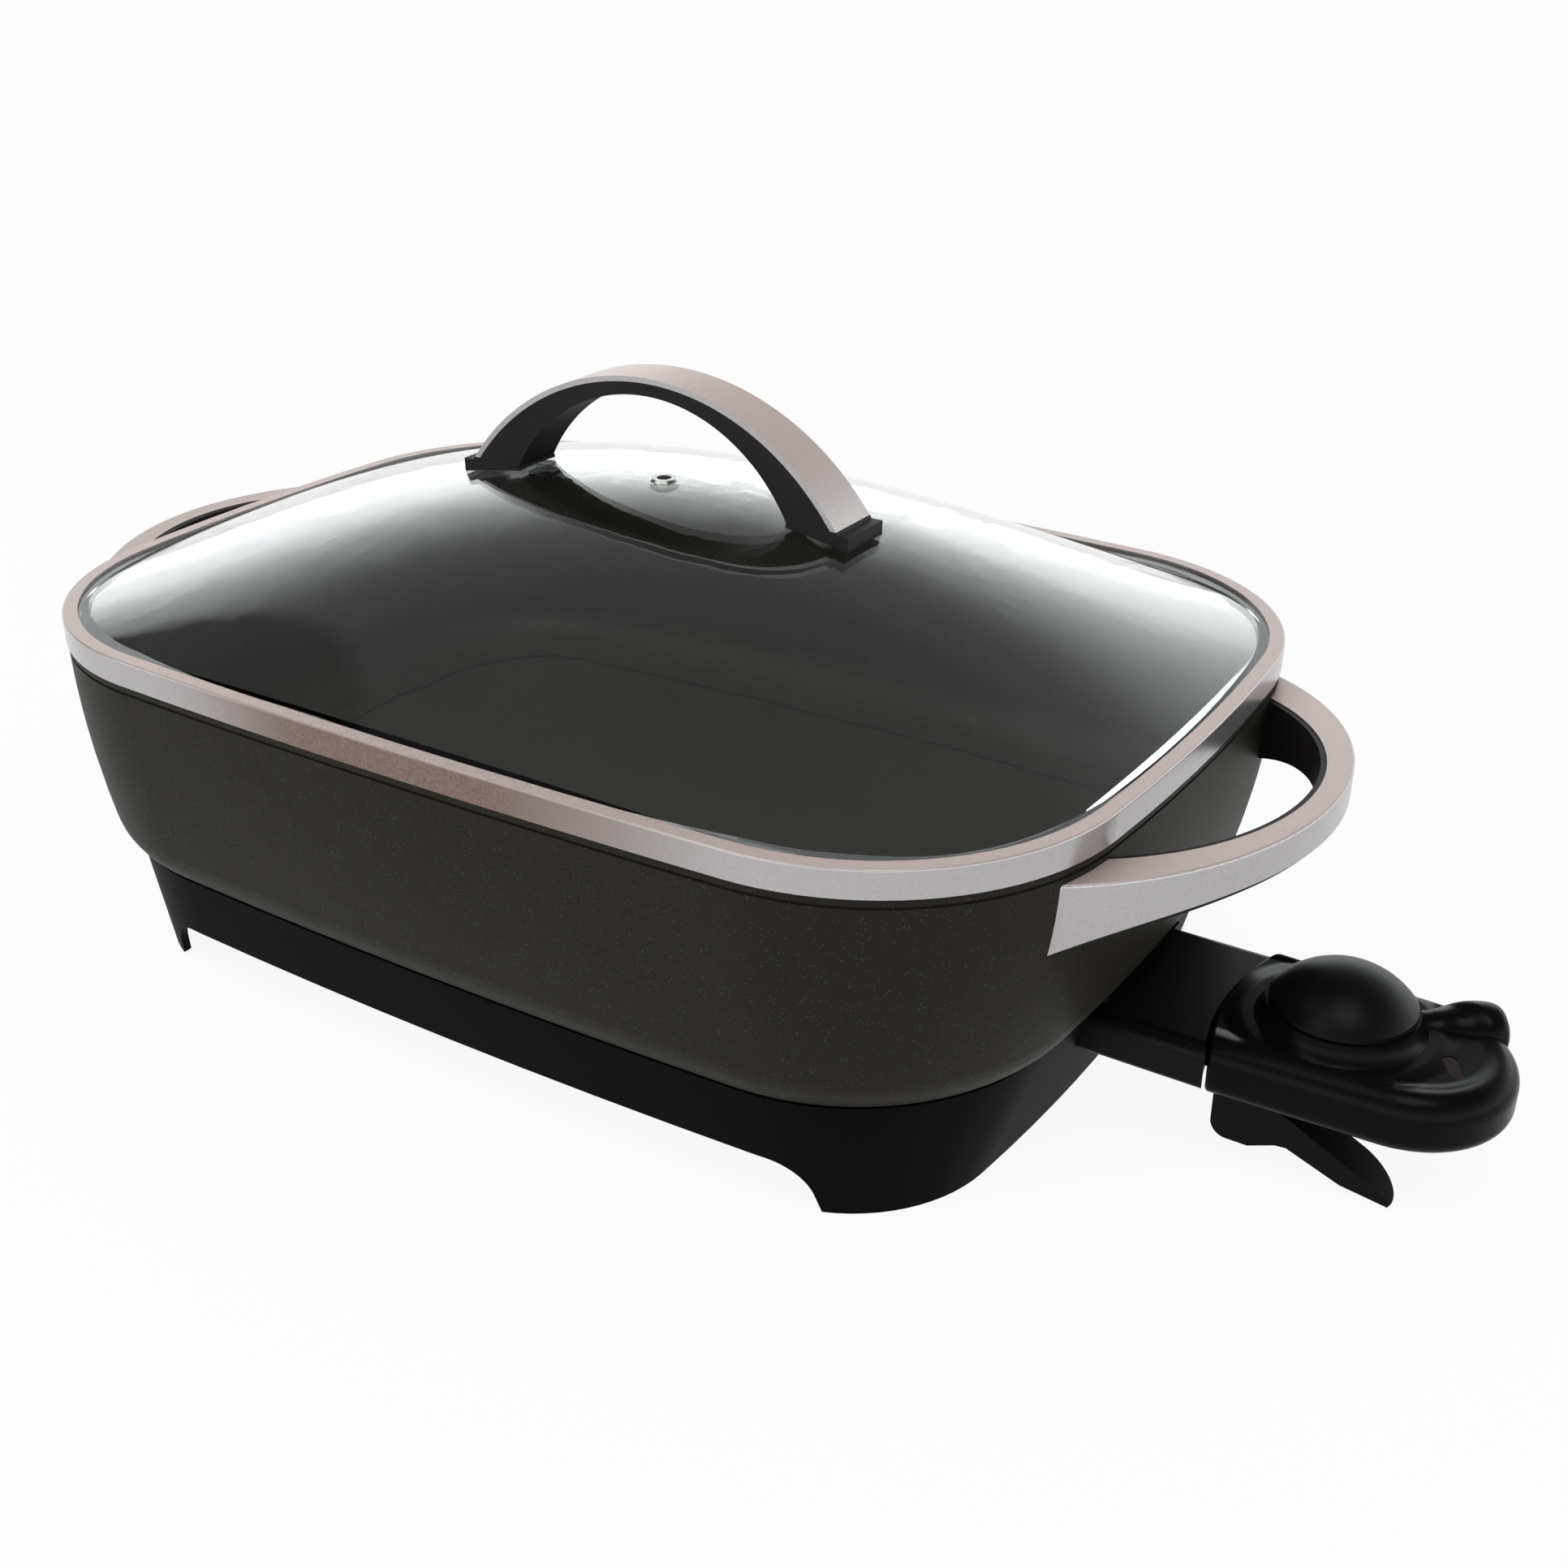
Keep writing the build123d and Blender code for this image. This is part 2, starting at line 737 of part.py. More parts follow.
# ---- side handles ---------------------------------------------------------------------
def handle_plan(outer_inset, inner_inset):
    """Crescent between two arcs, drawn in from its outer and its inner edge."""
    outer = Pos(handle_arc_x, 0) * Circle(handle_arc_radius - outer_inset)
    inner = Pos(handle_inner_x, 0) * Circle(handle_inner_radius + inner_inset)
    beyond = Pos(handle_start_x + tall / 2, 0) * Rectangle(tall, tall)
    return (outer - inner) & beyond


def handle_side(top_drop, low_drop):
    """Side profile: a rising top line over a hollow curve, in the XZ plane."""
    tip_x = handle_tip_x + 1
    low_tip = handle_top_at_tip - handle_depth_at_tip - low_drop
    low = ThreePointArc(
        (handle_start_x, 0, handle_top_at_wall - handle_depth_at_wall - low_drop),
        ((handle_start_x + tip_x) / 2, 0, handle_top_at_wall - handle_depth_middle - low_drop),
        (tip_x, 0, low_tip),
    )
    top = Polyline(
        (tip_x, 0, low_tip),
        (tip_x, 0, handle_top_at_tip - top_drop),
        (handle_start_x, 0, handle_top_at_wall - top_drop),
        low @ 0,
    )
    return make_face(low + top)


def handle_solid(plan, top_drop, low_drop):
    """Crescent and side profile, each run through the other."""
    return slab(plan, 0, tall) & side_slab(handle_side(top_drop, low_drop), tall / 2)


def turned(shape, side):
    """The shape as drawn at +X for side 1, turned half round for side -1."""
    return shape if side > 0 else Rot(0, 0, 180) * shape


def handle_screw_places():
    return [(handle_screw_x, lug_y), (handle_screw_x, -lug_y)]


def handle_lugs(side):
    """Cast ears on the pan wall that the handle's ends are screwed to."""
    ears = Pos(handle_start_x + lug_length / 2, lug_y) * Rectangle(lug_length, lug_size)
    ears += Pos(handle_start_x + lug_length / 2, -lug_y) * Rectangle(lug_length, lug_size)
    lugs = slab(ears & handle_plan(2 * handle_trim, handle_lip), lug_z, lug_z + lug_thickness)
    for x, y in handle_screw_places():
        lugs -= post(x, y, handle_screw_radius, lug_z, lug_z + lug_thickness)
    return turned(lugs, side)


def make_handle_core(side, pan_outside):
    core = handle_solid(handle_plan(handle_trim, 0), handle_trim, handle_reveal)
    lip = handle_plan(handle_trim, 0) - handle_plan(0, handle_lip)
    core += handle_solid(lip, handle_lip_drop, handle_reveal)
    for x, y in handle_screw_places():
        core -= post(x, y, handle_screw_head + head_play, 0, lug_z)
        core -= post(x, y, handle_screw_radius, lug_z, lug_z + lug_thickness + handle_screw_bite)
    return turned(core, side) - handle_lugs(side) - pan_outside


def make_handle_trim(side, pan_outside):
    shell = handle_solid(handle_plan(0, handle_lip), 0, 0)
    top = shell.faces().sort_by(Axis.Z)[-1]
    outer = top.edges().sort_by_distance((handle_tip_x, 0, handle_top_at_tip))[:1]
    shell = shell.fillet(handle_trim_round, outer)
    shell -= handle_solid(handle_plan(handle_trim, 0), handle_trim, tall / 8)
    return turned(shell, side) - pan_outside


def make_handle_screws(side):
    screws = both_ways(
        handle_screw_places(),
        lambda x, y: screw(
            x,
            y,
            lug_z - handle_screw_head_height,
            handle_screw_head,
            handle_screw_head_height,
            handle_screw_radius,
            lug_thickness + handle_screw_bite,
        ),
    )
    return turned(screws, side)


# ---- lid ------------------------------------------------------------------------------
def make_lid_rim():
    rim = slab(rim_outline(0), rim_bottom, rim_top)
    rim = rim.fillet(rim_edge_round, rim.faces().sort_by(Axis.Z)[-1].edges())
    rim -= slab(rim_outline(rim_face), rim_bottom, rim_top)
    return rim - slab(rim_outline(rim_sheet), glass_low, rim_top - rim_sheet)


def dome_fall(u, v):
    """Drop of the dome from its crown, 1 at the middle of each side of the rim."""
    return u * u + v * v - dome_squareness * u * u * v * v


def dome_surface(top):
    """Glass surface whose crown stands dome_rise over top, as a grid of points."""
    grid = []
    for i in range(-6, 7):
        row = []
        for j in range(-6, 7):
            u = dome_margin * i / 6
            v = dome_margin * j / 6
            height = top + dome_rise * (1 - dome_fall(u, v))
            row.append(Vector(u * dome_half_length, v * dome_half_width, height))
        grid.append(row)
    return Face.make_surface_from_array_of_points(grid)


def dome_height(x):
    """Height of the glass's top surface on the long centre line."""
    return glass_top + dome_rise * (1 - dome_fall(x / dome_half_length, 0))


def under_dome(top):
    """Everything below the dome surface."""
    return extrude(dome_surface(top), tall / 2, dir=(0, 0, -1))


def tilted(x, shape):
    """A shape drawn round the Z axis, set square to the glass at x; z = 0 is the inside face."""
    lean = degrees(2 * dome_rise * x / dome_half_length**2)
    return Pos(x, 0, dome_height(x) - glass_thickness) * Rot(0, lean, 0) * shape


def grip_bores(radius):
    """Room for the two screws that hold the handle on the glass."""
    bore = post(0, 0, radius, -2 * glass_thickness, glass_thickness + grip_screw_depth)
    return tilted(-grip_screw_x, bore) + tilted(grip_screw_x, bore)


def make_lid_glass():
    edge = slab(rim_outline(glass_edge_inset) - rim_outline(2 * rim_face), glass_low, glass_top)
    pillar = slab(rim_outline(rim_face + glass_play), rim_bottom, glass_crown + 1)
    dome = (pillar & under_dome(glass_top)) - under_dome(glass_low)
    glass = dome + edge
    glass -= post(0, 0, vent_radius + vent_sheet, 0, tall)
    return glass - grip_bores(glass_hole_radius)


def make_vent_eyelet():
    top = glass_crown
    low = top - glass_thickness - vent_play
    profile = [
        (vent_radius, top + vent_proud),
        (vent_flange_radius - vent_sheet, top + vent_proud),
        (vent_flange_radius, top),
        (vent_radius + vent_sheet, top),
        (vent_radius + vent_sheet, low),
        (vent_flange_radius - vent_sheet, low),
        (vent_flange_radius - vent_sheet, low - vent_sheet),
        (vent_radius, low - vent_sheet),
    ]
    return revolve(xz_face(profile), Axis.Z)


def grip_plan():
    """Waisted plan of the lid handle, narrowest at its middle."""
    far = ThreePointArc(
        (-grip_toe_x, grip_half_width_foot),
        (0, grip_half_width_middle),
        (grip_toe_x, grip_half_width_foot),
    )
    near = ThreePointArc(
        (grip_toe_x, -grip_half_width_foot),
        (0, -grip_half_width_middle),
        (-grip_toe_x, -grip_half_width_foot),
    )
    ends = Line(far @ 1, near @ 0) + Line(near @ 1, far @ 0)
    return make_face(far + near + ends)


def arch_disc(radius, top):
    """Upright disc whose edge is one of the arch's arcs."""
    return Pos(0, 0, top - radius) * Rot(90, 0, 0) * Cylinder(radius, tall / 4)


def grip_envelope():
    """Space over the gaskets within the handle's plan."""
    body = slab(grip_plan(), rim_top, grip_top + 1)
    return body - under_dome(glass_top + gasket_thickness)


def make_lid_handle_grip():
    outer = arch_disc(grip_outer_radius - grip_trim, grip_top - grip_trim)
    feet = arch_disc(grip_outer_radius, grip_top) & slab(Rectangle(tall, tall), 0, grip_strip_low)
    toes = block(
        (-grip_toe_x, grip_toe_x),
        (-tall, tall),
        (rim_top, grip_strip_low - grip_lip * toe_share),
    )
    grip = ((outer + feet + toes) & grip_envelope()) - arch_disc(grip_inner_radius, grip_inner_top)
    return grip - grip_bores(grip_screw_radius)


def make_lid_handle_trim():
    outer = arch_disc(grip_outer_radius, grip_top)
    outer -= arch_disc(grip_outer_radius - grip_trim, grip_top - grip_trim)
    return outer & slab(grip_plan(), grip_strip_low, grip_top + 1)


def make_lid_handle_gaskets():
    plan = grip_plan() - Rectangle(2 * grip_inner_x, tall)
    pads = slab(plan, rim_top, tall / 2) & under_dome(glass_top + gasket_thickness)
    pads -= under_dome(glass_top)
    return pads - grip_bores(grip_screw_radius)


def make_lid_handle_washers():
    washer = post(0, 0, washer_radius, -washer_thickness - washer_gap, -washer_gap)
    washer -= post(0, 0, grip_screw_radius, -washer_thickness - washer_gap, -washer_gap)
    return both_ways([(-grip_screw_x,), (grip_screw_x,)], lambda x: tilted(x, washer))


def make_lid_handle_screws():
    head_top = -washer_thickness - washer_gap
    head = post(0, 0, grip_screw_head, head_top - grip_screw_head_height, head_top)
    head = end_rounded(head, grip_screw_head_height * head_round, Axis.Z, False)
    bolt = head + post(0, 0, grip_screw_radius, head_top, glass_thickness + grip_screw_depth)
    return both_ways([(-grip_screw_x,), (grip_screw_x,)], lambda x: tilted(x, bolt))


# ---- plug-in heat control -------------------------------------------------------------
def front_disc(inward):
    """Disc whose edge is the bowed front of the case."""
    return Pos(front_centre_x, 0) * Circle(front_radius - inward)


def case_plan(inward):
    """Flanks that run from ahead of the case's front into a round tail."""
    front_x = case_front_x - 2 * case_top_round
    front = Pos(front_x, 0) * Rectangle(2, 2 * case_front_half_width - 2 * inward)
    tail = Pos(case_tail_x - case_tail_radius, 0) * Circle(case_tail_radius - inward)
    return make_hull(front.edges() + tail.edges())


def case_form():
    """Outside of the case as one solid: round deck, hub under the dial, cord outlet."""
    case = slab(case_plan(0), case_low, case_deck)
    case = case.fillet(case_top_round, case.faces().sort_by(Axis.Z)[-1].edges())
    case = case.fillet(case_low_round, case.faces().sort_by(Axis.Z)[0].edges())
    case &= slab(front_disc(0), case_low, case_deck)
    front = case.faces().sort_by(Axis.X)[0]
    return case.fillet(front_round, front.edges()) + dial_hub() + cord_barrel()


def dial_hub():
    """Flared seat of the dial."""
    foot_radius = hub_top_radius + hub_flare
    foot = case_deck - hub_sink
    flank = ThreePointArc(
        (hub_top_radius, 0, dial_base),
        ((hub_top_radius + foot_radius) / 2 - hub_sag, 0, (dial_base + foot) / 2 - hub_sag),
        (foot_radius, 0, foot),
    )
    rest = Polyline((foot_radius, 0, foot), (0, 0, foot), (0, 0, dial_base), (hub_top_radius, 0, dial_base))
    return Pos(dial_x, 0, 0) * revolve(make_face(flank + rest), Axis.Z)


def along_gland(shape):
    """A shape drawn about the Z axis, laid along the cord outlet from its root."""
    direction = Vector(cos(radians(gland_angle)), sin(radians(gland_angle)), 0)
    root = Vector(dial_x + gland_back, gland_side, gland_z)
    return Plane(root, z_dir=direction).location * shape


def cord_barrel():
    """Outlet of the cord, waisted at its root and round at its end."""
    end_radius = gland_radius - gland_round
    outline_line = Spline(
        (gland_waist, 0, 0),
        (gland_waist, 0, gland_swell / 3),
        (gland_radius, 0, gland_swell),
        tangents=[(0, 0, 1), (0, 0, 1)],
    )
    shoulder = Spline(
        (gland_radius, 0, gland_swell),
        (end_radius, 0, gland_length),
        tangents=[(0, 0, 1), (-1, 0, 0)],
    )
    rest = Polyline((end_radius, 0, gland_length), (0, 0, gland_length), (0, 0, 0), (gland_waist, 0, 0))
    return along_gland(revolve(make_face(outline_line + shoulder + rest), Axis.Z))


def gland_rod(radius, start, end):
    """A cylinder on the cord outlet's axis, from start to end along it."""
    return along_gland(post(0, 0, radius, start, end))


def case_cavity():
    """Space for the thermostat inside the case."""
    plan = case_plan(case_flank_wall) & front_disc(case_flank_wall)
    return slab(plan, case_low + case_wall, cavity_high)


def lens_plan():
    """Slot of the pilot lamp's window, set at an angle across the deck."""
    slot = SlotOverall(lens_length, lens_width)
    return Pos(dial_x + lens_back, lens_side) * Rot(0, 0, lens_turn) * slot


def case_screw_places():
    front_x = case_front_x + front_screw_back
    tail_x = case_tail_x - tail_screw_inset
    return [(front_x, front_screw_y), (front_x, -front_screw_y), (tail_x, tail_screw_y)]


def make_case_shell():
    """Whole case, hollowed, with every opening that crosses the parting line."""
    shell = case_form() - case_cavity()
    for x, y in case_screw_places():
        shell += post(x, y, case_post_radius, case_low + case_wall / 2, cavity_high + case_wall / 2)
    shell -= block(
        (case_front_x - 2 * front_bow, nose_end_x),
        (-nose_half_width, nose_half_width),
        (nose_low, nose_high),
    )
    return shell - gland_rod(gland_bore + gland_sleeve, -gland_root, gland_length)


def make_probe_upper_case(shell):
    upper = shell & block((0, tall), (-tall, tall), (case_split, tall))
    upper -= post(dial_x, 0, shaft_radius + shaft_play, case_split, tall)
    upper -= slab(lens_plan(), cavity_high, tall)
    for x, y in case_screw_places():
        upper -= post(x, y, case_screw_radius, case_split, case_split + case_screw_bite)
    return upper


def make_probe_lower_case(shell):
    lower = shell & block((0, tall), (-tall, tall), (0, case_split))
    head_room = case_low + case_screw_sink + case_screw_head_height
    for x, y in case_screw_places():
        lower -= post(x, y, case_screw_radius, 0, case_split)
        lower -= post(x, y, case_screw_head + sleeve_play, 0, head_room)
    ear = rod_y(pivot_x, pivot_z, ear_radius, ear_half_thickness)
    ear += block(
        (pivot_x - ear_radius, pivot_x + ear_radius),
        (-ear_half_thickness, ear_half_thickness),
        (pivot_z, case_low + case_wall / 2),
    )
    lower += Pos(0, ear_y, 0) * ear + Pos(0, -ear_y, 0) * ear
    return lower - rod_y(pivot_x, pivot_z, lever_pin_radius, lever_half_width)


def make_case_screws():
    head_low = case_low + case_screw_sink
    shank = case_split + case_screw_bite - head_low - case_screw_head_height
    return both_ways(
        case_screw_places(),
        lambda x, y: screw(
            x, y, head_low, case_screw_head, case_screw_head_height, case_screw_radius, shank
        ),
    )


def make_contact_block():
    nose = block(
        (nose_start_x, nose_end_x),
        (-nose_half_width, nose_half_width),
        (nose_low, nose_high),
    )
    nose = nose.fillet(nose_round, nose.edges().filter_by(Axis.X))
    for y in (-pin_pitch / 2, pin_pitch / 2):
        nose -= rod_x(y, plug_z, sleeve_radius, nose_start_x, nose_end_x)
    return nose - rod_x(0, plug_z, rod_radius, nose_start_x, nose_end_x)


def make_contact_sleeves():
    start = nose_start_x + sleeve_inset
    end = nose_end_x - sleeve_tail_inset
    return both_ways(
        [(pin_pitch / 2,), (-pin_pitch / 2,)],
        lambda y: rod_x(y, plug_z, sleeve_radius, start, end)
        - rod_x(y, plug_z, pin_radius + sleeve_play, start, pin_end_x + sleeve_spare),
    )


def make_sensor_rod():
    rod = rod_x(0, plug_z, rod_radius, rod_tip_x, rod_end_x)
    return end_rounded(rod, rod_end_round, Axis.X, False)


def make_thermostat_frame():
    """Channel-shaped bracket, open at its tail, that carries the strip and the dial shaft."""
    end = rod_end_x + bracket_length
    low = case_low + case_wall
    bracket = block((rod_end_x, end), (-bracket_half_width, bracket_half_width), (low, bracket_high))
    bracket -= block(
        (bracket_start_x, end),
        (-bracket_half_width, bracket_half_width),
        (low + bracket_sheet, bracket_high - bracket_sheet),
    )
    return bracket - post(dial_x, 0, shaft_tail_radius + sleeve_play, case_split, bracket_high)


def make_bimetal_strip():
    low = plug_z - bimetal_drop
    return block(
        (bracket_start_x, bracket_start_x + bimetal_length),
        (-bimetal_half_width, bimetal_half_width),
        (low, low + bimetal_sheet),
    )


def make_switch_contacts():
    low = plug_z - contact_height
    leaf = block(
        (bracket_start_x, bracket_start_x + leaf_length),
        (-leaf_half_width, leaf_half_width),
        (low, low + leaf_sheet),
    )
    button_x = bracket_start_x + leaf_length - 2 * contact_radius
    return leaf + post(button_x, 0, contact_radius, low - contact_height, low)


def make_pilot_lamp():
    """Small lamp that lies under the window."""
    lamp = rod_x(0, 0, lamp_radius, -lamp_length / 2, lamp_length / 2)
    lamp = end_rounded(lamp, lamp_end_round, Axis.X, True)
    middle = Pos(dial_x + lens_back, lens_side, lens_low - lamp_radius - sleeve_inset)
    return middle * Rot(0, 0, lens_turn) * lamp


def make_pilot_lens():
    return slab(lens_plan(), lens_low, case_deck - lens_sink)


def make_cord_gland():
    end = gland_length + gland_proud
    sleeve = gland_rod(gland_bore + gland_sleeve, -gland_root, end)
    return sleeve - gland_rod(gland_bore, -gland_root, end)


# ---- dial -----------------------------------------------------------------------------
def make_dial_knob():
    skirt = post(0, 0, dial_radius, dial_low, dial_low + dial_skirt)
    rise = dial_top - dial_low - dial_skirt
    crown_radius = (dial_radius**2 + rise**2) / (2 * rise)
    crown = Pos(0, 0, dial_top - crown_radius) * Sphere(crown_radius)
    crown &= post(0, 0, dial_radius, dial_low + dial_skirt, dial_top + 1)
    knob = skirt + crown - post(0, 0, shaft_radius, dial_low, dial_low + dial_socket)
    return Pos(dial_x, 0, 0) * knob


def make_dial_shaft():
    """Shaft that turns in the upper case, with a thin tail in the bracket."""
    shoulder = bracket_high + shaft_shoulder_gap
    shaft = post(dial_x, 0, shaft_radius, shoulder, dial_low + dial_socket)
    return shaft + post(dial_x, 0, shaft_tail_radius, bracket_high - shaft_tail, shoulder)


# ---- release lever --------------------------------------------------------------------
def lever_side():
    """Side profile of the lever: a block at the pivot and a blade that thins to its tip."""

    def along(share):
        return pivot_x + share * lever_length

    def under(share):
        return pivot_z - share * lever_fall

    return xz_face(
        [
            (lever_front_x, lever_top),
            (lever_front_x, lever_block_low),
            (along(0.09), lever_block_low),
            (along(0.26), under(0.51)),
            (along(0.33), under(0.49)),
            (along(0.68), under(0.88)),
            (along(0.98), lever_tip_low),
            (lever_tip_x, under(0.89)),
            (along(0.80), under(0.59)),
            (along(0.32), under(-0.13)),
            (pivot_x + lever_crest, lever_top),
        ]
    )


def make_release_lever():
    lever = side_slab(lever_side(), lever_half_width)
    heel = lever.edges().filter_by(Axis.Y).sort_by_distance((lever_front_x, 0, lever_block_low))[:1]
    lever = lever.fillet(lever_heel_round, heel)
    reach = lever_tip_x - lever_front_x
    plan = Pos(lever_front_x + reach / 2, 0) * Rectangle(reach, 2 * lever_half_width)
    plan -= Pos(pivot_x + lever_notch_back + tall / 2, 0) * RectangleRounded(
        tall, 2 * lever_notch_half_width, lever_notch_half_width * 0.95
    )
    inner_corners = plan.vertices().sort_by(Axis.X)[-4:].sort_by(Axis.Y)[1:3]
    plan = fillet(inner_corners, lever_tip_round)
    lever &= slab(plan, 0, tall)
    lever -= block(
        (lever_front_x, pivot_x + lever_pocket_back),
        (-lever_pocket_half_width, lever_pocket_half_width),
        (pivot_z - lever_pocket_drop, tall),
    )
    bore_half_length = lever_half_width - lever_pin_inset + 1
    return lever - rod_y(pivot_x, pivot_z, lever_pin_radius + lever_pin_play, bore_half_length)


def make_lever_pin():
    return rod_y(pivot_x, pivot_z, lever_pin_radius, lever_half_width - lever_pin_inset)


def make_lever_spring():
    """Coil round the pin, between the two ears."""
    length = spring_turns * spring_pitch
    path = Helix(pitch=spring_pitch, height=length, radius=spring_coil_radius)
    wire = Plane(path @ 0, z_dir=path % 0) * Circle(spring_wire)
    coil = sweep(wire, path=path, is_frenet=True)
    return Pos(pivot_x, length / 2, pivot_z) * Rot(90, 0, 0) * coil


# ---- build and save -------------------------------------------------------------------
def save(name, shape):
    """Write one node, moved from the pan's centre to the frame's origin."""
    moved = Pos(pan_x, 0, 0) * shape
    moved.label = name
    export_step(moved, f"parts/{name}.step")


def main():
    os.makedirs("parts", exist_ok=True)
    pan_outside = pan_form(pan_bottom, pan_round, 0)
    element = make_heating_element()
    pan = make_pan(pan_outside, element)
    save("pan", pan)
    save("heating_element", element)
    save("terminal_pins", make_terminal_pins())
    save("terminal_insulators", make_terminal_insulators())
    flange = guard_flange(pan_outside)
    save("base_skirt", make_base_skirt(pan_outside, guard_form(0) + flange))
    save("base_screws", make_base_screws())
    save("probe_guard", make_probe_guard(pan_outside, flange))
    save("guard_screws", make_guard_screws())
    for name, side in (("right", 1), ("left", -1)):
        save(f"handle_{name}_core", make_handle_core(side, pan_outside))
        save(f"handle_{name}_trim", make_handle_trim(side, pan_outside))
        save(f"handle_{name}_screws", make_handle_screws(side))
    save("lid_rim", make_lid_rim())
    save("lid_glass", make_lid_glass())
    save("vent_eyelet", make_vent_eyelet())
    save("lid_handle_grip", make_lid_handle_grip())
    save("lid_handle_trim", make_lid_handle_trim())
    save("lid_handle_gaskets", make_lid_handle_gaskets())
    save("lid_handle_washers", make_lid_handle_washers())
    save("lid_handle_screws", make_lid_handle_screws())
    shell = make_case_shell()
    save("probe_upper_case", make_probe_upper_case(shell))
    save("probe_lower_case", make_probe_lower_case(shell))
    save("case_screws", make_case_screws())
    save("contact_block", make_contact_block())
    save("contact_sleeves", make_contact_sleeves())
    save("sensor_rod", make_sensor_rod())
    save("thermostat_frame", make_thermostat_frame())
    save("bimetal_strip", make_bimetal_strip())
    save("switch_contacts", make_switch_contacts())
    save("pilot_lamp", make_pilot_lamp())
    save("pilot_lens", make_pilot_lens())
    save("cord_gland", make_cord_gland())
    save("dial_knob", make_dial_knob())
    save("dial_shaft", make_dial_shaft())
    save("release_lever", make_release_lever())
    save("lever_pin", make_lever_pin())
    save("lever_spring", make_lever_spring())


main()
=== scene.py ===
"""Electric skillet: finishes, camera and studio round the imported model.

Every length is in metres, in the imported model's own frame: +X points to the plug-in heat
control, +Z is up and the counter lies at z = 0.
"""
import logging
import math
from dataclasses import dataclass
from enum import Enum
from typing import Any

import bpy
from mathutils import Matrix, Vector

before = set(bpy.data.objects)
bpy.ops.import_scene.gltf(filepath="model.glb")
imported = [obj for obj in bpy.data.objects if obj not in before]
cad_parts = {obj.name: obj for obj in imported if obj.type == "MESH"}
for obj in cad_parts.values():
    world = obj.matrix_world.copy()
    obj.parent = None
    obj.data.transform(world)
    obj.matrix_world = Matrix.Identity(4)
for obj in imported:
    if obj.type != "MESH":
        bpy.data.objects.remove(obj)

log = logging.getLogger("skillet")
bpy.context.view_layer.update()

Colour = tuple[float, float, float, float]
Place = tuple[float, float, float]
Input = Any  # a number, a colour, a vector, a socket or a Value


class Ray(Enum):
    """Kinds of ray that a material or the world can tell apart."""

    CAMERA = "Is Camera Ray"
    GLOSSY = "Is Glossy Ray"
    TRANSMISSION = "Is Transmission Ray"
    SHADOW = "Is Shadow Ray"


def srgb(red: int, green: int, blue: int) -> Colour:
    """Turn a display colour into a linear one.

    Args:
        red: Display red, 0 to 255.
        green: Display green, 0 to 255.
        blue: Display blue, 0 to 255.

    Returns:
        The colour as Blender's sockets take it.
    """
    knee, slope, lift, power = 0.04045, 12.92, 0.055, 2.4
    linear = []
    for channel in (red, green, blue):
        share = channel / 255
        linear.append(share / slope if share <= knee else ((share + lift) / (1 + lift)) ** power)
    return (*linear, 1.0)


def grey(level: float) -> Colour:
    """A neutral colour of a linear level."""
    return (level, level, level, 1.0)


# ---- shader maths ---------------------------------------------------------------------
@dataclass(frozen=True)
class Value:
    """A number that runs through a graph, with arithmetic that adds Math nodes."""

    graph: "Graph"
    socket: bpy.types.NodeSocket

    def _math(self, operation: str, first: Input, second: Input) -> "Value":
        """Add one Math node of two numbers."""
        node = self.graph.node("ShaderNodeMath", {"operation": operation}, {0: first, 1: second})
        return Value(self.graph, node.outputs[0])

    def __add__(self, other: Input) -> "Value":
        """Sum."""
        return self._math("ADD", self, other)

    __radd__ = __add__

    def __sub__(self, other: Input) -> "Value":
        """Difference."""
        return self._math("SUBTRACT", self, other)

    def __rsub__(self, other: Input) -> "Value":
        """Difference, from a plain number."""
        return self._math("SUBTRACT", other, self)

    def __mul__(self, other: Input) -> "Value":
        """Product."""
        return self._math("MULTIPLY", self, other)

    __rmul__ = __mul__

    def __pow__(self, other: Input) -> "Value":
        """Power."""
        return self._math("POWER", self, other)

    def __lt__(self, other: Input) -> "Value":
        """1 where this is less than the other, and 0 elsewhere."""
        return self._math("LESS_THAN", self, other)

    def __gt__(self, other: Input) -> "Value":
        """1 where this is more than the other, and 0 elsewhere."""
        return self._math("GREATER_THAN", self, other)

    def most(self, other: Input) -> "Value":
        """The larger of this and the other."""
        return self._math("MAXIMUM", self, other)


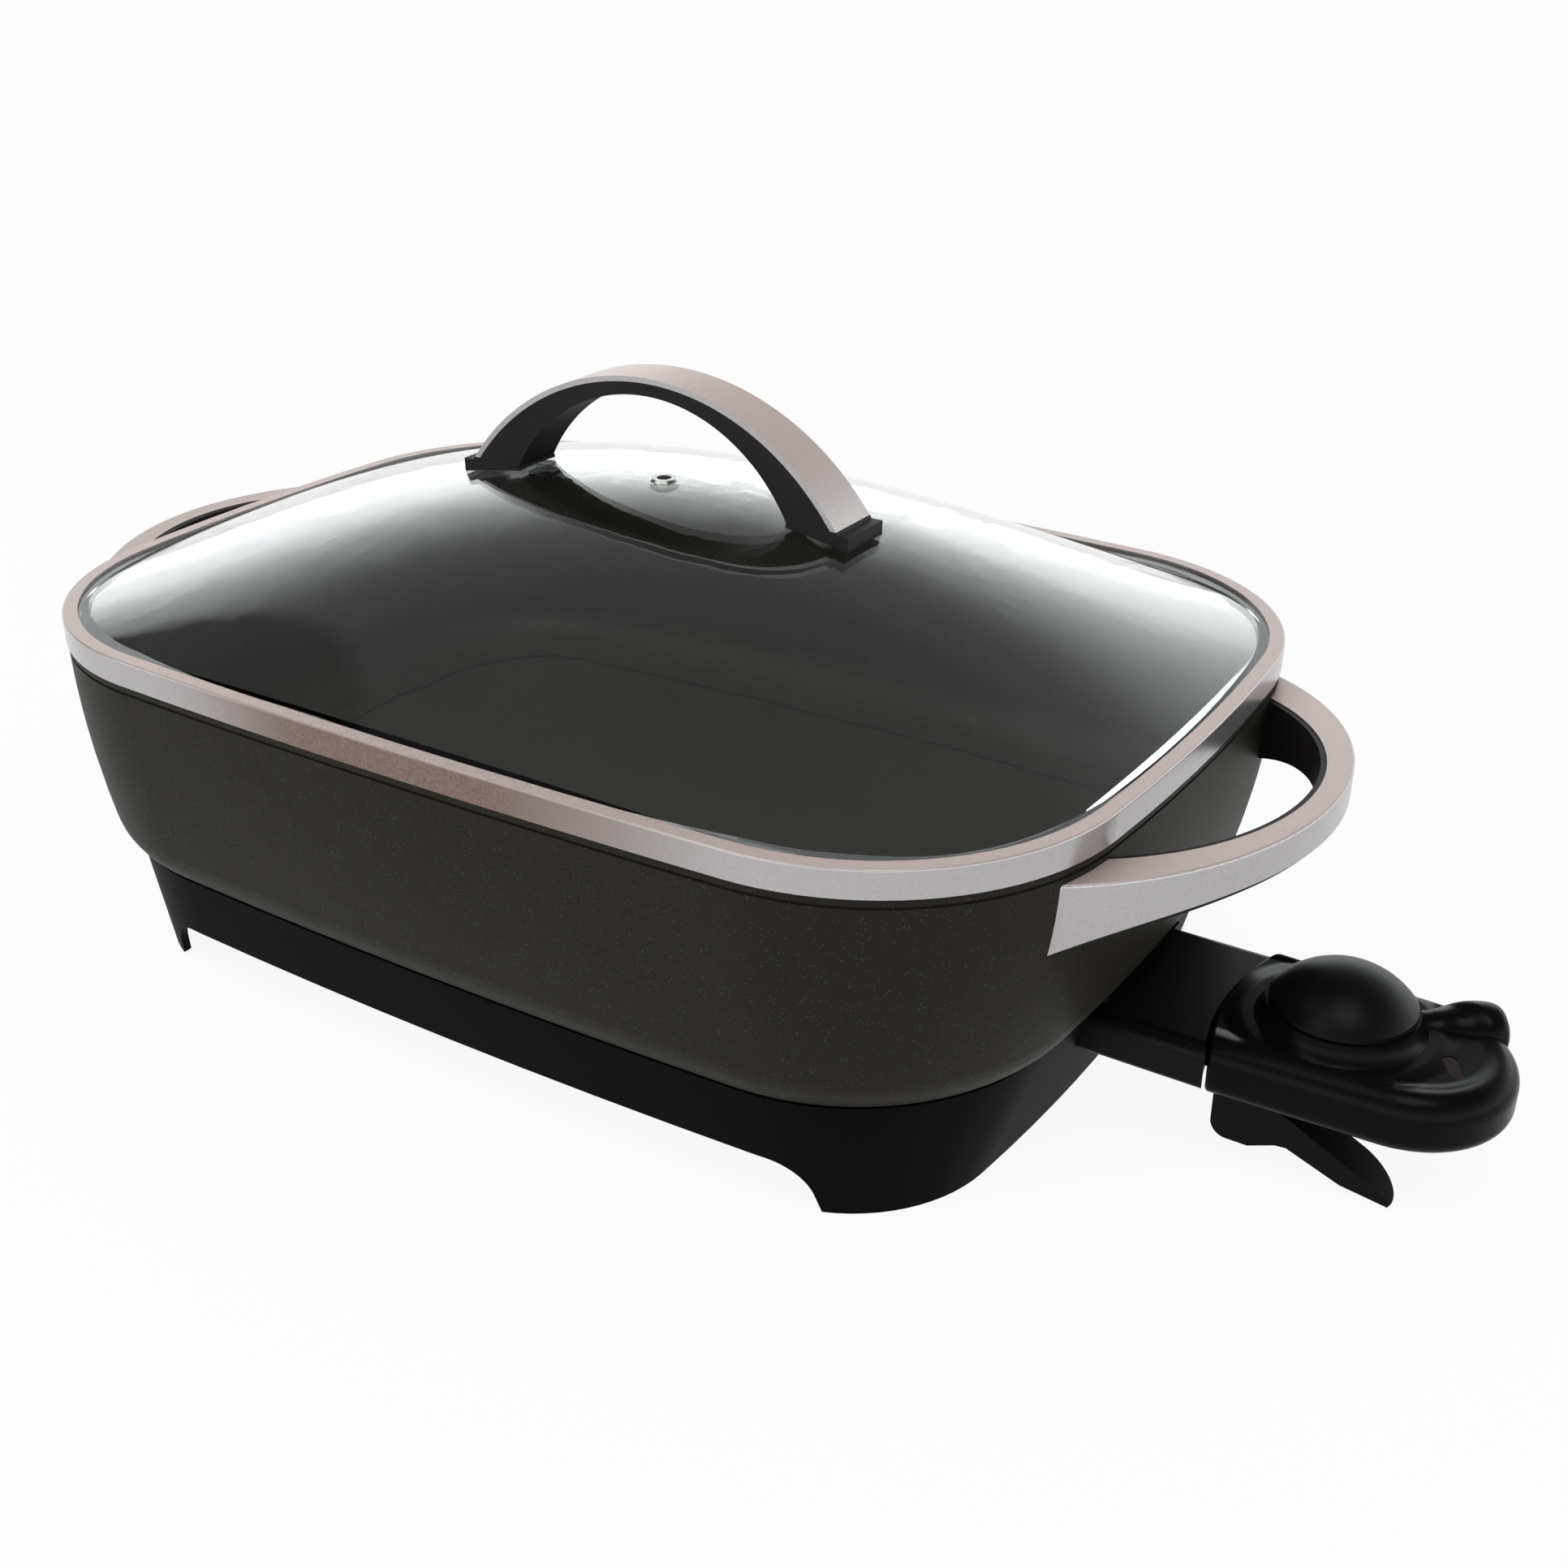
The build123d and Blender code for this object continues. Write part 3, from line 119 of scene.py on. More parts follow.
class Graph:
    """Node tree of one material or of the world."""

    def __init__(self, tree: bpy.types.NodeTree) -> None:
        """Take over a tree and empty it."""
        self.tree = tree
        self.tree.nodes.clear()

    def node(
        self,
        kind: str,
        settings: dict[str, Any] | None = None,
        inputs: dict[str | int, Input] | None = None,
    ) -> bpy.types.Node:
        """Add a node.

        Args:
            kind: The node's type.
            settings: Its own properties; "stops" holds a ramp's places and colours.
            inputs: Values or links for its sockets, by name or number.

        Returns:
            The new node.
        """
        node = self.tree.nodes.new(kind)
        for name, value in (settings or {}).items():
            if name == "stops":
                self._set_stops(node.color_ramp, value)
            else:
                setattr(node, name, value)
        for name, value in (inputs or {}).items():
            self.feed(node.inputs[name], value)
        return node

    @staticmethod
    def _set_stops(ramp: bpy.types.ColorRamp, stops: tuple[tuple[float, Colour], ...]) -> None:
        """Give a ramp its stops.

        Args:
            ramp: The new node's ramp, with its two elements.
            stops: Places and colours, in order from 0 to 1.
        """
        ramp.elements.remove(ramp.elements[1])
        ramp.elements[0].position, ramp.elements[0].color = stops[0]
        for place, colour in stops[1:]:
            ramp.elements.new(place).color = colour

    def feed(self, socket: bpy.types.NodeSocket, value: Input) -> None:
        """Link or set one socket.

        Args:
            socket: The socket that takes the value.
            value: A Value or socket to link, or a plain value to set.
        """
        if isinstance(value, Value):
            value = value.socket
        if isinstance(value, bpy.types.NodeSocket):
            self.tree.links.new(value, socket)
        else:
            socket.default_value = value

    def value(self, node: bpy.types.Node, output: str | int = 0) -> Value:
        """One output of a node as a Value."""
        return Value(self, node.outputs[output])

    def place(self) -> bpy.types.NodeSocket:
        """Coordinates of the piece itself, in metres."""
        return self.node("ShaderNodeTexCoord").outputs["Object"]

    def axes(self, vector: Input) -> tuple[Value, Value, Value]:
        """The three numbers of a vector."""
        parts = self.node("ShaderNodeSeparateXYZ", None, {0: vector})
        return self.value(parts, "X"), self.value(parts, "Y"), self.value(parts, "Z")

    def distance(self, x: Value, y: Value, centre: tuple[float, float]) -> Value:
        """Distance in plan from a centre."""
        along, across = x - centre[0], y - centre[1]
        return (along * along + across * across) ** 0.5

    def noise(self, scale: float, detail: float = 2.0, rough: float = 0.5) -> Value:
        """Noise in the piece's own coordinates.

        Args:
            scale: Features per metre.
            detail: Octaves.
            rough: Weight of the finer octaves.

        Returns:
            A number from 0 to 1 round 0.5.
        """
        inputs = {"Vector": self.place(), "Scale": scale, "Detail": detail, "Roughness": rough}
        return self.value(self.node("ShaderNodeTexNoise", None, inputs), "Fac")

    def grains(self, scale: float) -> Value:
        """Distance to the nearest of many scattered points, in cells."""
        inputs = {"Vector": self.place(), "Scale": scale}
        return self.value(self.node("ShaderNodeTexVoronoi", None, inputs), "Distance")

    def upward(self) -> Value:
        """How far the surface faces up, from -1 to 1."""
        normal = self.node("ShaderNodeNewGeometry").outputs["Normal"]
        return self.axes(normal)[2]

    def smooth(self, value: Input, low: float, high: float) -> Value:
        """Ease a number from 0 to 1.

        Args:
            value: The number.
            low: Where the result leaves 0.
            high: Where the result reaches 1.

        Returns:
            The eased number.
        """
        settings = {"interpolation_type": "SMOOTHSTEP"}
        inputs = {"Value": value, "From Min": low, "From Max": high}
        return self.value(self.node("ShaderNodeMapRange", settings, inputs), "Result")

    def blend(self, share: Input, low: Input, high: Input) -> bpy.types.NodeSocket:
        """Colour between two colours.

        Args:
            share: 0 gives low and 1 gives high.
            low: The first colour.
            high: The second colour.

        Returns:
            The colour socket.
        """
        node = self.node("ShaderNodeMix", {"data_type": "RGBA"}, {0: share, 6: low, 7: high})
        return node.outputs[2]

    def bump(self, height: Input, strength: float = 1.0) -> bpy.types.NodeSocket:
        """Normal that follows a height.

        Args:
            height: Height in metres.
            strength: Share of the height that shows.

        Returns:
            The normal's socket.
        """
        inputs = {"Height": height, "Distance": 1.0, "Strength": strength}
        return self.node("ShaderNodeBump", None, inputs).outputs["Normal"]

    def seen_by(self, *rays: Ray) -> Value:
        """Tell kinds of ray apart.

        Args:
            rays: The kinds that are looked for.

        Returns:
            1 for those kinds and 0 for the others.
        """
        path = self.node("ShaderNodeLightPath")
        seen = self.value(path, rays[0].value)
        for ray in rays[1:]:
            seen = seen.most(self.value(path, ray.value))
        return seen


# ---- finishes -------------------------------------------------------------------------
@dataclass(frozen=True)
class Finish:
    """A surface finish; each kind builds its own graph."""

    name: str

    def material(self) -> bpy.types.Material:
        """Make the finish's material, or find it if it is made.

        Returns:
            The material.
        """
        title = f"finish.{self.name}"
        made = bpy.data.materials.get(title)
        if made is None:
            made = bpy.data.materials.new(title)
            made.use_nodes = True
            graph = Graph(made.node_tree)
            shader = self.shader(graph)
            graph.node("ShaderNodeOutputMaterial", None, {"Surface": shader.outputs[0]})
        return made

    def shader(self, graph: Graph) -> bpy.types.Node:
        """Build the finish's shader.

        Args:
            graph: The material's graph.

        Returns:
            The node whose first output is the surface.
        """
        raise NotImplementedError


@dataclass(frozen=True)
class NonStickCoat(Finish):
    """Matte sprayed coating with a fine grain and scattered pale specks."""

    dark: Colour = srgb(29, 27, 22)
    light: Colour = srgb(42, 40, 34)
    speck: Colour = srgb(104, 106, 92)
    roughness: float = 0.5
    gloss: float = 0.09
    grain_scale: float = 1500.0
    grain_depth: float = 0.00008
    grain_share: float = 0.6
    bump_share: float = 0.6
    cloud_scale: float = 18.0
    speck_scale: float = 1050.0
    speck_radius: float = 0.2
    speck_share: float = 0.45
    patch_scale: float = 320.0
    patch_edge: tuple[float, float] = (0.44, 0.6)
    spread: float = 0.16

    def shader(self, graph: Graph) -> bpy.types.Node:
        """Put grain and clouds in the colour, specks on top and the grain in the bump.

        Args:
            graph: The material's graph.

        Returns:
            The node whose first output is the surface.
        """
        grain = graph.noise(self.grain_scale, 3.0)
        clouds = graph.noise(self.cloud_scale)
        sparse = graph.smooth(graph.noise(self.patch_scale), *self.patch_edge)
        specks = (graph.grains(self.speck_scale) < self.speck_radius) * sparse
        mottle = clouds * (1 - self.grain_share) + grain * self.grain_share
        shade = graph.blend(mottle, self.dark, self.light)
        inputs = {
            "Base Color": graph.blend(specks * self.speck_share, shade, self.speck),
            "Roughness": grain * self.spread + (self.roughness - self.spread / 2),
            "Specular IOR Level": self.gloss,
            "Normal": graph.bump(grain * self.grain_depth, self.bump_share),
        }
        return graph.node("ShaderNodeBsdfPrincipled", None, inputs)


@dataclass(frozen=True)
class MouldedPlastic(Finish):
    """Black moulded plastic with a fine spark-eroded grain."""

    dark: Colour = srgb(10, 10, 10)
    light: Colour = srgb(16, 15, 15)
    roughness: float = 0.42
    gloss: float = 0.12
    grain_scale: float = 1300.0
    grain_depth: float = 0.00003
    shade_scale: float = 30.0
    spread: float = 0.12

    def form(self, graph: Graph) -> Input:
        """Height of any soft form that the finish adds, in metres."""
        return 0.0

    def shader(self, graph: Graph) -> bpy.types.Node:
        """Make an even black with grain in its roughness and its bump.

        Args:
            graph: The material's graph.

        Returns:
            The node whose first output is the surface.
        """
        grain = graph.noise(self.grain_scale)
        inputs = {
            "Base Color": graph.blend(graph.noise(self.shade_scale), self.dark, self.light),
            "Roughness": grain * self.spread + (self.roughness - self.spread / 2),
            "Specular IOR Level": self.gloss,
            "Normal": graph.bump(grain * self.grain_depth + self.form(graph)),
        }
        return graph.node("ShaderNodeBsdfPrincipled", None, inputs)


@dataclass(frozen=True)
class DishedPlastic(MouldedPlastic):
    """Moulded plastic whose deck is slightly dished between its hub and its edge."""

    hub: tuple[float, float] = (0.219, 0.0)
    hub_radius: float = 0.0292
    tail: tuple[float, float] = (0.241, 0.0)
    tail_radius: float = 0.032
    half_width: float = 0.0345
    ridge_inset: float = 0.0045
    dish_width: float = 0.007
    dish_depth: float = 0.0016
    deck_height: float = 0.0432
    tail_blend: float = 0.002

    def form(self, graph: Graph) -> Input:
        """Sink the deck by its distances to the hub and to its own outline.

        Args:
            graph: The material's graph.

        Returns:
            Height in metres, below zero in the dish.
        """
        x, y, z = graph.axes(graph.place())
        from_hub = graph.distance(x, y, self.hub) - self.hub_radius
        ahead = self.half_width - y.most(y * -1.0)
        behind = self.tail_radius - graph.distance(x, y, self.tail)
        start, end = self.tail[0] - self.tail_blend, self.tail[0] + self.tail_blend
        past_tail = graph.smooth(x, start, end)
        inside = ahead * (1 - past_tail) + behind * past_tail
        edge_fall = graph.smooth(inside, self.ridge_inset, self.ridge_inset + self.dish_width)
        hub_fall = graph.smooth(from_hub, 0.0, self.dish_width)
        on_deck = z > self.deck_height
        return edge_fall * hub_fall * on_deck * -self.dish_depth


@dataclass(frozen=True)
class SatinMetal(Finish):
    """Satin silver with a very fine mottle and painted light, warmer where it faces up."""

    side: Colour = srgb(182, 180, 181)
    warm_side: Colour = srgb(158, 138, 132)
    # painted top light: colour of faces that point up
    top: Colour = srgb(193, 176, 172)
    fleck: Colour = srgb(150, 134, 130)
    metallic: float = 0.7
    top_metallic: float = 0.25
    roughness: float = 0.26
    top_roughness: float = 0.42
    grain_scale: float = 1100.0
    grain_depth: float = 0.00001
    tint_scale: float = 7.0
    tint_edge: tuple[float, float] = (0.5, 0.7)
    tint_share: float = 0.5
    facing_up: tuple[float, float] = (0.45, 0.9)
    fleck_edge: tuple[float, float] = (0.3, 0.75)
    fleck_share: float = 0.16
    warm_fleck_share: float = 0.3
    spread: float = 0.1

    def warmth(self, graph: Graph) -> Value:
        """Share of the warm tint on the sides, in soft clouds."""
        return graph.smooth(graph.noise(self.tint_scale, 1.0), *self.tint_edge) * self.tint_share

    def shader(self, graph: Graph) -> bpy.types.Node:
        """Colour by how far the face points up, which paints top light, with a fine mottle.

        Args:
            graph: The material's graph.

        Returns:
            The node whose first output is the surface.
        """
        grain = graph.noise(self.grain_scale)
        # painted top light: faces that point up get the top colour, less metal and more roughness
        level = graph.smooth(graph.upward(), *self.facing_up)
        warm = self.warmth(graph)
        # warm side tint: random clouds on the handles, a painted darker reflection on the lid rim
        side = graph.blend(warm, self.side, self.warm_side)
        painted_top_light = graph.blend(level, side, self.top)
        flecks = graph.smooth(grain, *self.fleck_edge)
        mottle = flecks * (warm * self.warm_fleck_share + self.fleck_share)
        duller = level * (self.top_roughness - self.roughness)
        inputs = {
            "Base Color": graph.blend(mottle, painted_top_light, self.fleck),
            "Metallic": self.metallic - level * (self.metallic - self.top_metallic),
            "Roughness": grain * self.spread + duller + (self.roughness - self.spread / 2),
            "Normal": graph.bump(grain * self.grain_depth),
        }
        return graph.node("ShaderNodeBsdfPrincipled", None, inputs)


@dataclass(frozen=True)
class RimSteel(SatinMetal):
    """Satin rim with a painted darker, warmer reflection and more mottle along the middle of its
    long sides.
    """

    # where along the rim the painted darker reflection sits
    middle: float = -0.022
    half_length: float = 0.03
    fade: float = 0.1

    def warmth(self, graph: Graph) -> Value:
        """Share of the painted darker, warmer reflection, from the place along the rim.

        Args:
            graph: The material's graph.

        Returns:
            1 in the middle of the long sides and 0 away from it.
        """
        x = graph.axes(graph.place())[0] - self.middle
        clouds = (graph.noise(self.tint_scale, 1.0) - 0.5) * self.fade
        away = x.most(x * -1.0) + clouds
        return 1 - graph.smooth(away, self.half_length, self.half_length + self.fade)


@dataclass(frozen=True)
class PlainMetal(Finish):
    """Drawn, plated or turned metal with faint streaks."""

    colour: Colour = srgb(190, 190, 186)
    shade: Colour = srgb(110, 108, 104)
    roughness: float = 0.32
    streak_scale: float = 500.0
    streak_depth: float = 0.00001
    streak_share: float = 0.25
    spread: float = 0.14

    def shader(self, graph: Graph) -> bpy.types.Node:
        """Make a metal whose colour and roughness vary a little.

        Args:
            graph: The material's graph.

        Returns:
            The node whose first output is the surface.
        """
        streaks = graph.noise(self.streak_scale)
        inputs = {
            "Base Color": graph.blend(streaks * self.streak_share, self.colour, self.shade),
            "Metallic": 1.0,
            "Roughness": streaks * self.spread + (self.roughness - self.spread / 2),
            "Normal": graph.bump(streaks * self.streak_depth),
        }
        return graph.node("ShaderNodeBsdfPrincipled", None, inputs)


@dataclass(frozen=True)
class ClearGlass(Finish):
    """Clear tempered glass with a faint cold tint."""

    tint: Colour = srgb(246, 250, 249)
    index: float = 1.5
    wave_scale: float = 12.0
    wave_depth: float = 0.00003

    def shader(self, graph: Graph) -> bpy.types.Node:
        """Make smooth glass with a barely uneven surface, clear to the lamps.

        Args:
            graph: The material's graph.

        Returns:
            The node whose first output is the surface.
        """
        inputs = {
            "Base Color": self.tint,
            "Roughness": 0.0,
            "IOR": self.index,
            "Transmission Weight": 1.0,
            "Normal": graph.bump(graph.noise(self.wave_scale, 1.0) * self.wave_depth),
        }
        glass = graph.node("ShaderNodeBsdfPrincipled", None, inputs)
        clear = graph.node("ShaderNodeBsdfTransparent", None, {"Color": self.tint})
        shares = {0: graph.seen_by(Ray.SHADOW), 1: glass.outputs[0], 2: clear.outputs[0]}
        return graph.node("ShaderNodeMixShader", None, shares)


@dataclass(frozen=True)
class TintedPlastic(Finish):
    """Clear plastic with a strong tint, for the lamp and its window."""

    colour: Colour = srgb(30, 12, 10)
    shade: Colour = srgb(16, 8, 8)
    roughness: float = 0.14
    transmission: float = 0.2
    gloss: float = 0.1
    cloud_scale: float = 300.0
    cloud_share: float = 0.4
    spread: float = 0.06

    def shader(self, graph: Graph) -> bpy.types.Node:
        """Make a partly clear, slightly cloudy plastic.

        Args:
            graph: The material's graph.

        Returns:
            The node whose first output is the surface.
        """
        clouds = graph.noise(self.cloud_scale)
        inputs = {
            "Base Color": graph.blend(clouds * self.cloud_share, self.colour, self.shade),
            "Roughness": clouds * self.spread + self.roughness,
            "Transmission Weight": self.transmission,
            "Specular IOR Level": self.gloss,
        }
        return graph.node("ShaderNodeBsdfPrincipled", None, inputs)


@dataclass(frozen=True)
class MatteBody(Finish):
    """Rubber or unglazed ceramic."""

    colour: Colour = srgb(22, 22, 22)
    dust: Colour = srgb(60, 58, 55)
    roughness: float = 0.7
    gloss: float = 0.2
    powder_scale: float = 900.0
    powder_depth: float = 0.00004
    powder_share: float = 0.2
    spread: float = 0.1

    def shader(self, graph: Graph) -> bpy.types.Node:
        """Make a dull body with a powdery surface.

        Args:
            graph: The material's graph.

        Returns:
            The node whose first output is the surface.
        """
        powder = graph.noise(self.powder_scale, 3.0)
        inputs = {
            "Base Color": graph.blend(powder * self.powder_share, self.colour, self.dust),
            "Roughness": powder * self.spread + self.roughness,
            "Specular IOR Level": self.gloss,
            "Normal": graph.bump(powder * self.powder_depth),
        }
        return graph.node("ShaderNodeBsdfPrincipled", None, inputs)


PLATED_STEEL = PlainMetal("plated_steel")
BRASS = PlainMetal("contact_brass", srgb(205, 170, 100), srgb(140, 110, 60), 0.3)
BASE_PLASTIC = MouldedPlastic("base_plastic", roughness=0.5, gloss=0.02)
GRIP_PLASTIC = MouldedPlastic("grip_plastic", srgb(30, 27, 27), srgb(38, 35, 35), roughness=0.5)
SATIN_TRIM = SatinMetal("satin_trim")
RUBBER = MatteBody("gasket_rubber")


# ---- sub-assemblies -------------------------------------------------------------------
@dataclass(frozen=True)
class Assembly:
    """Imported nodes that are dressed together."""

    def finishes(self) -> dict[str, Finish]:
        """Choose the finish of each of the assembly's nodes.

        Returns:
            Finishes by the nodes' names.
        """
        raise NotImplementedError

    def dress(self) -> None:
        """Give every shown node of the assembly its finish."""
        for name, finish in self.finishes().items():
            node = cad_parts[name]
            if node.hide_render:
                continue
            node.data.materials.clear()
            node.data.materials.append(finish.material())
            log.info("%s: %s wears %s", type(self).__name__, name, finish.name)


@dataclass(frozen=True)
class Pan(Assembly):
    """Cast pan with its cast-in element, pins and their bushes."""

    grain_depth: float = 0.00008
    speck_radius: float = 0.2

    def finishes(self) -> dict[str, Finish]:
        """Put the sprayed coat on the casting, bare metal and ceramic under it.

        Returns:
            Finishes by the nodes' names.
        """
        sheath = PlainMetal("element_sheath", srgb(128, 120, 112), srgb(80, 74, 70), 0.5)
        ceramic = MatteBody("ceramic", srgb(226, 222, 208), srgb(190, 184, 168), 0.8)
        return {
            "pan": NonStickCoat(
                "pan_coat", grain_depth=self.grain_depth, speck_radius=self.speck_radius
            ),
            "heating_element": sheath,
            "terminal_pins": PLATED_STEEL,
            "terminal_insulators": ceramic,
        }


@dataclass(frozen=True)
class Base(Assembly):
    """Moulded base, the guard round the pins and their screws."""

    guard_roughness: float = 0.34
    guard_gloss: float = 0.1

    def finishes(self) -> dict[str, Finish]:
        """Give grained black plastic and plated screws.

        Returns:
            Finishes by the nodes' names.
        """
        guard = MouldedPlastic(
            "guard_plastic", roughness=self.guard_roughness, gloss=self.guard_gloss
        )
        return {
            "base_skirt": BASE_PLASTIC,
            "base_screws": PLATED_STEEL,
            "probe_guard": guard,
            "guard_screws": PLATED_STEEL,
        }


@dataclass(frozen=True)
class SideHandles(Assembly):
    """Both loop handles with their silver covers."""

    def finishes(self) -> dict[str, Finish]:
        """Give black loops, satin covers and plated screws, alike on both sides.

        Returns:
            Finishes by the nodes' names.
        """
        dressed: dict[str, Finish] = {}
        for side in ("right", "left"):
            dressed[f"handle_{side}_core"] = GRIP_PLASTIC
            dressed[f"handle_{side}_trim"] = SATIN_TRIM
            dressed[f"handle_{side}_screws"] = PLATED_STEEL
        return dressed


@dataclass(frozen=True)
class Lid(Assembly):
    """Domed glass in its rolled rim, with the vent's eyelet."""

    wave_depth: float = 0.00003
    rim_roughness: float = 0.22
    # colour of the painted darker reflection along the middle of the rim's long sides
    painted_reflection_tint: Colour = srgb(120, 98, 90)

    def finishes(self) -> dict[str, Finish]:
        """Give clear glass, a satin rim and a plated eyelet.

        Returns:
            Finishes by the nodes' names.
        """
        steel = RimSteel("rim_steel", roughness=self.rim_roughness, warm_side=self.painted_reflection_tint)
        return {
            "lid_rim": steel,
            "lid_glass": ClearGlass("lid_glass", wave_depth=self.wave_depth),
            "vent_eyelet": PLATED_STEEL,
        }


@dataclass(frozen=True)
class LidHandle(Assembly):
    """Bow handle with its silver strip, pads, washers and screws."""

    def finishes(self) -> dict[str, Finish]:
        """Give a black bow, a satin strip, rubber pads and plated fasteners.

        Returns:
            Finishes by the nodes' names.
        """
        return {
            "lid_handle_grip": GRIP_PLASTIC,
            "lid_handle_trim": SATIN_TRIM,
            "lid_handle_gaskets": RUBBER,
            "lid_handle_washers": PLATED_STEEL,
            "lid_handle_screws": PLATED_STEEL,
        }


@dataclass(frozen=True)
class HeatControl(Assembly):
    """Plug-in heat control: housing, nose, thermostat, lamp and cord outlet."""

    roughness: float = 0.25
    gloss: float = 0.06
    grain_depth: float = 0.00001
    dish_depth: float = 0.0016

    def finishes(self) -> dict[str, Finish]:
        """Give smoother black plastic outside, metals and the lamp inside.

        Returns:
            Finishes by the nodes' names.
        """
        skin: dict[str, float] = {
            "roughness": self.roughness,
            "gloss": self.gloss,
            "grain_depth": self.grain_depth,
        }
        plastic = MouldedPlastic("control_plastic", **skin)
        deck = DishedPlastic("control_deck", dish_depth=self.dish_depth, **skin)
        aluminium = PlainMetal("rod_aluminium", srgb(205, 205, 204), srgb(150, 150, 150), 0.28)
        lamp = TintedPlastic("lamp_glass", srgb(200, 120, 60), srgb(150, 70, 30), 0.05, 0.5)
        return {
            "probe_upper_case": deck,
            "probe_lower_case": plastic,
            "case_screws": PLATED_STEEL,
            "contact_block": BASE_PLASTIC,
            "contact_sleeves": BRASS,
            "sensor_rod": aluminium,
            "thermostat_frame": PLATED_STEEL,
            "bimetal_strip": BRASS,
            "switch_contacts": BRASS,
            "pilot_lamp": lamp,
            "pilot_lens": TintedPlastic("lens_plastic"),
            "cord_gland": RUBBER,
        }


@dataclass(frozen=True)
class Dial(Assembly):
    """Heat dial on its shaft."""

    roughness: float = 0.36
    gloss: float = 0.1
    grain_depth: float = 0.00001

    def finishes(self) -> dict[str, Finish]:
        """Give a smooth black knob on a plated shaft.

        Returns:
            Finishes by the nodes' names.
        """
        knob = MouldedPlastic(
            "dial_plastic",
            roughness=self.roughness,
            gloss=self.gloss,
            grain_depth=self.grain_depth,
        )
        return {"dial_knob": knob, "dial_shaft": PLATED_STEEL}


@dataclass(frozen=True)
class ReleaseLever(Assembly):
    """Sprung lever under the control."""

    roughness: float = 0.28
    gloss: float = 0.08
    grain_depth: float = 0.00001

    def finishes(self) -> dict[str, Finish]:
        """Give a black lever, a plated pin and a bright spring.

        Returns:
            Finishes by the nodes' names.
        """
        plastic = MouldedPlastic(
            "lever_plastic",
            roughness=self.roughness,
            gloss=self.gloss,
            grain_depth=self.grain_depth,
        )
        spring = PlainMetal("spring_steel", srgb(150, 150, 150), srgb(90, 90, 90), 0.25)
        return {
            "release_lever": plastic,
            "lever_pin": PLATED_STEEL,
            "lever_spring": spring,
        }


# ---- camera and studio ----------------------------------------------------------------
@dataclass(frozen=True)
class Viewpoint:
    """Where the camera stands and how it looks."""

    place: Place = (0.34163, -0.51549, 0.37439)
    azimuth: float = 32.22
    elevation: float = 26.52
    roll: float = 0.35
    lens_mm: float = 44.64
    sensor_mm: float = 36.0
    nearest: float = 0.01

    def build(self) -> None:
        """Add the camera and make it the scene's."""
        azimuth, elevation, roll = map(math.radians, (self.azimuth, self.elevation, self.roll))
        level = Vector((math.cos(azimuth), math.sin(azimuth), 0))
        away = Vector((math.sin(azimuth), -math.cos(azimuth), 0))
        back = away * math.cos(elevation) + Vector((0, 0, math.sin(elevation)))
        up = back.cross(level)
        right = level * math.cos(roll) + up * math.sin(roll)
        top = up * math.cos(roll) - level * math.sin(roll)
        data = bpy.data.cameras.new("viewpoint")
        data.lens = self.lens_mm
        data.sensor_width = self.sensor_mm
        data.clip_start = self.nearest
        camera = bpy.data.objects.new("viewpoint", data)
        turn = Matrix((right, top, back)).transposed().to_4x4()
        camera.matrix_world = Matrix.Translation(self.place) @ turn
        bpy.context.scene.collection.objects.link(camera)
        bpy.context.scene.camera = camera
        log.info("camera stands at %s", self.place)


@dataclass(frozen=True)
class SoftLamp:
    """One rectangular soft lamp, aimed at a point."""

    name: str
    place: Place
    size: tuple[float, float]
    watts: float
    aim: Place = (0.0, 0.0, 0.08)

    def build(self) -> None:
        """Add the lamp."""
        data = bpy.data.lights.new(self.name, "AREA")
        data.shape = "RECTANGLE"
        data.size, data.size_y = self.size
        data.energy = self.watts
        lamp = bpy.data.objects.new(self.name, data)
        lamp.location = self.place
        towards = Vector(self.aim) - Vector(self.place)
        lamp.rotation_euler = towards.to_track_quat("-Z", "Y").to_euler()
        bpy.context.scene.collection.objects.link(lamp)
        log.info("lamp %s gives %.0f W", self.name, self.watts)


@dataclass(frozen=True)
class Floor:
    """Pale disc that reads white and keeps the object's shadow."""

    radius: float = 12.0
    steps: int = 64
    colour: Colour = srgb(240, 240, 240)
    glow: float = 0.92

    def build(self) -> None:
        """Add the disc and its material."""
        turns = [2 * math.pi * step / self.steps for step in range(self.steps)]
        ring = [(self.radius * math.cos(turn), self.radius * math.sin(turn), 0.0) for turn in turns]
        mesh = bpy.data.meshes.new("floor")
        mesh.from_pydata(ring, [], [list(range(self.steps))])
        mesh.materials.append(self._material())
        floor = bpy.data.objects.new("floor", mesh)
        bpy.context.scene.collection.objects.link(floor)
        log.info("floor is %.0f m wide", 2 * self.radius)

    def _material(self) -> bpy.types.Material:
        """Make pale paint that is nearly white where it is seen.

        Returns:
            The floor's material.
        """
        material = bpy.data.materials.new("floor")
        material.use_nodes = True
        graph = Graph(material.node_tree)
        paint = graph.node("ShaderNodeBsdfDiffuse", None, {"Color": self.colour})
        glow = graph.node("ShaderNodeEmission", None, {"Color": grey(1.0), "Strength": 1.0})
        seen = graph.seen_by(Ray.CAMERA, Ray.GLOSSY, Ray.TRANSMISSION)
        shares = {0: seen * self.glow, 1: paint.outputs[0], 2: glow.outputs[0]}
        mixed = graph.node("ShaderNodeMixShader", None, shares)
        graph.node("ShaderNodeOutputMaterial", None, {"Surface": mixed.outputs[0]})
        return material


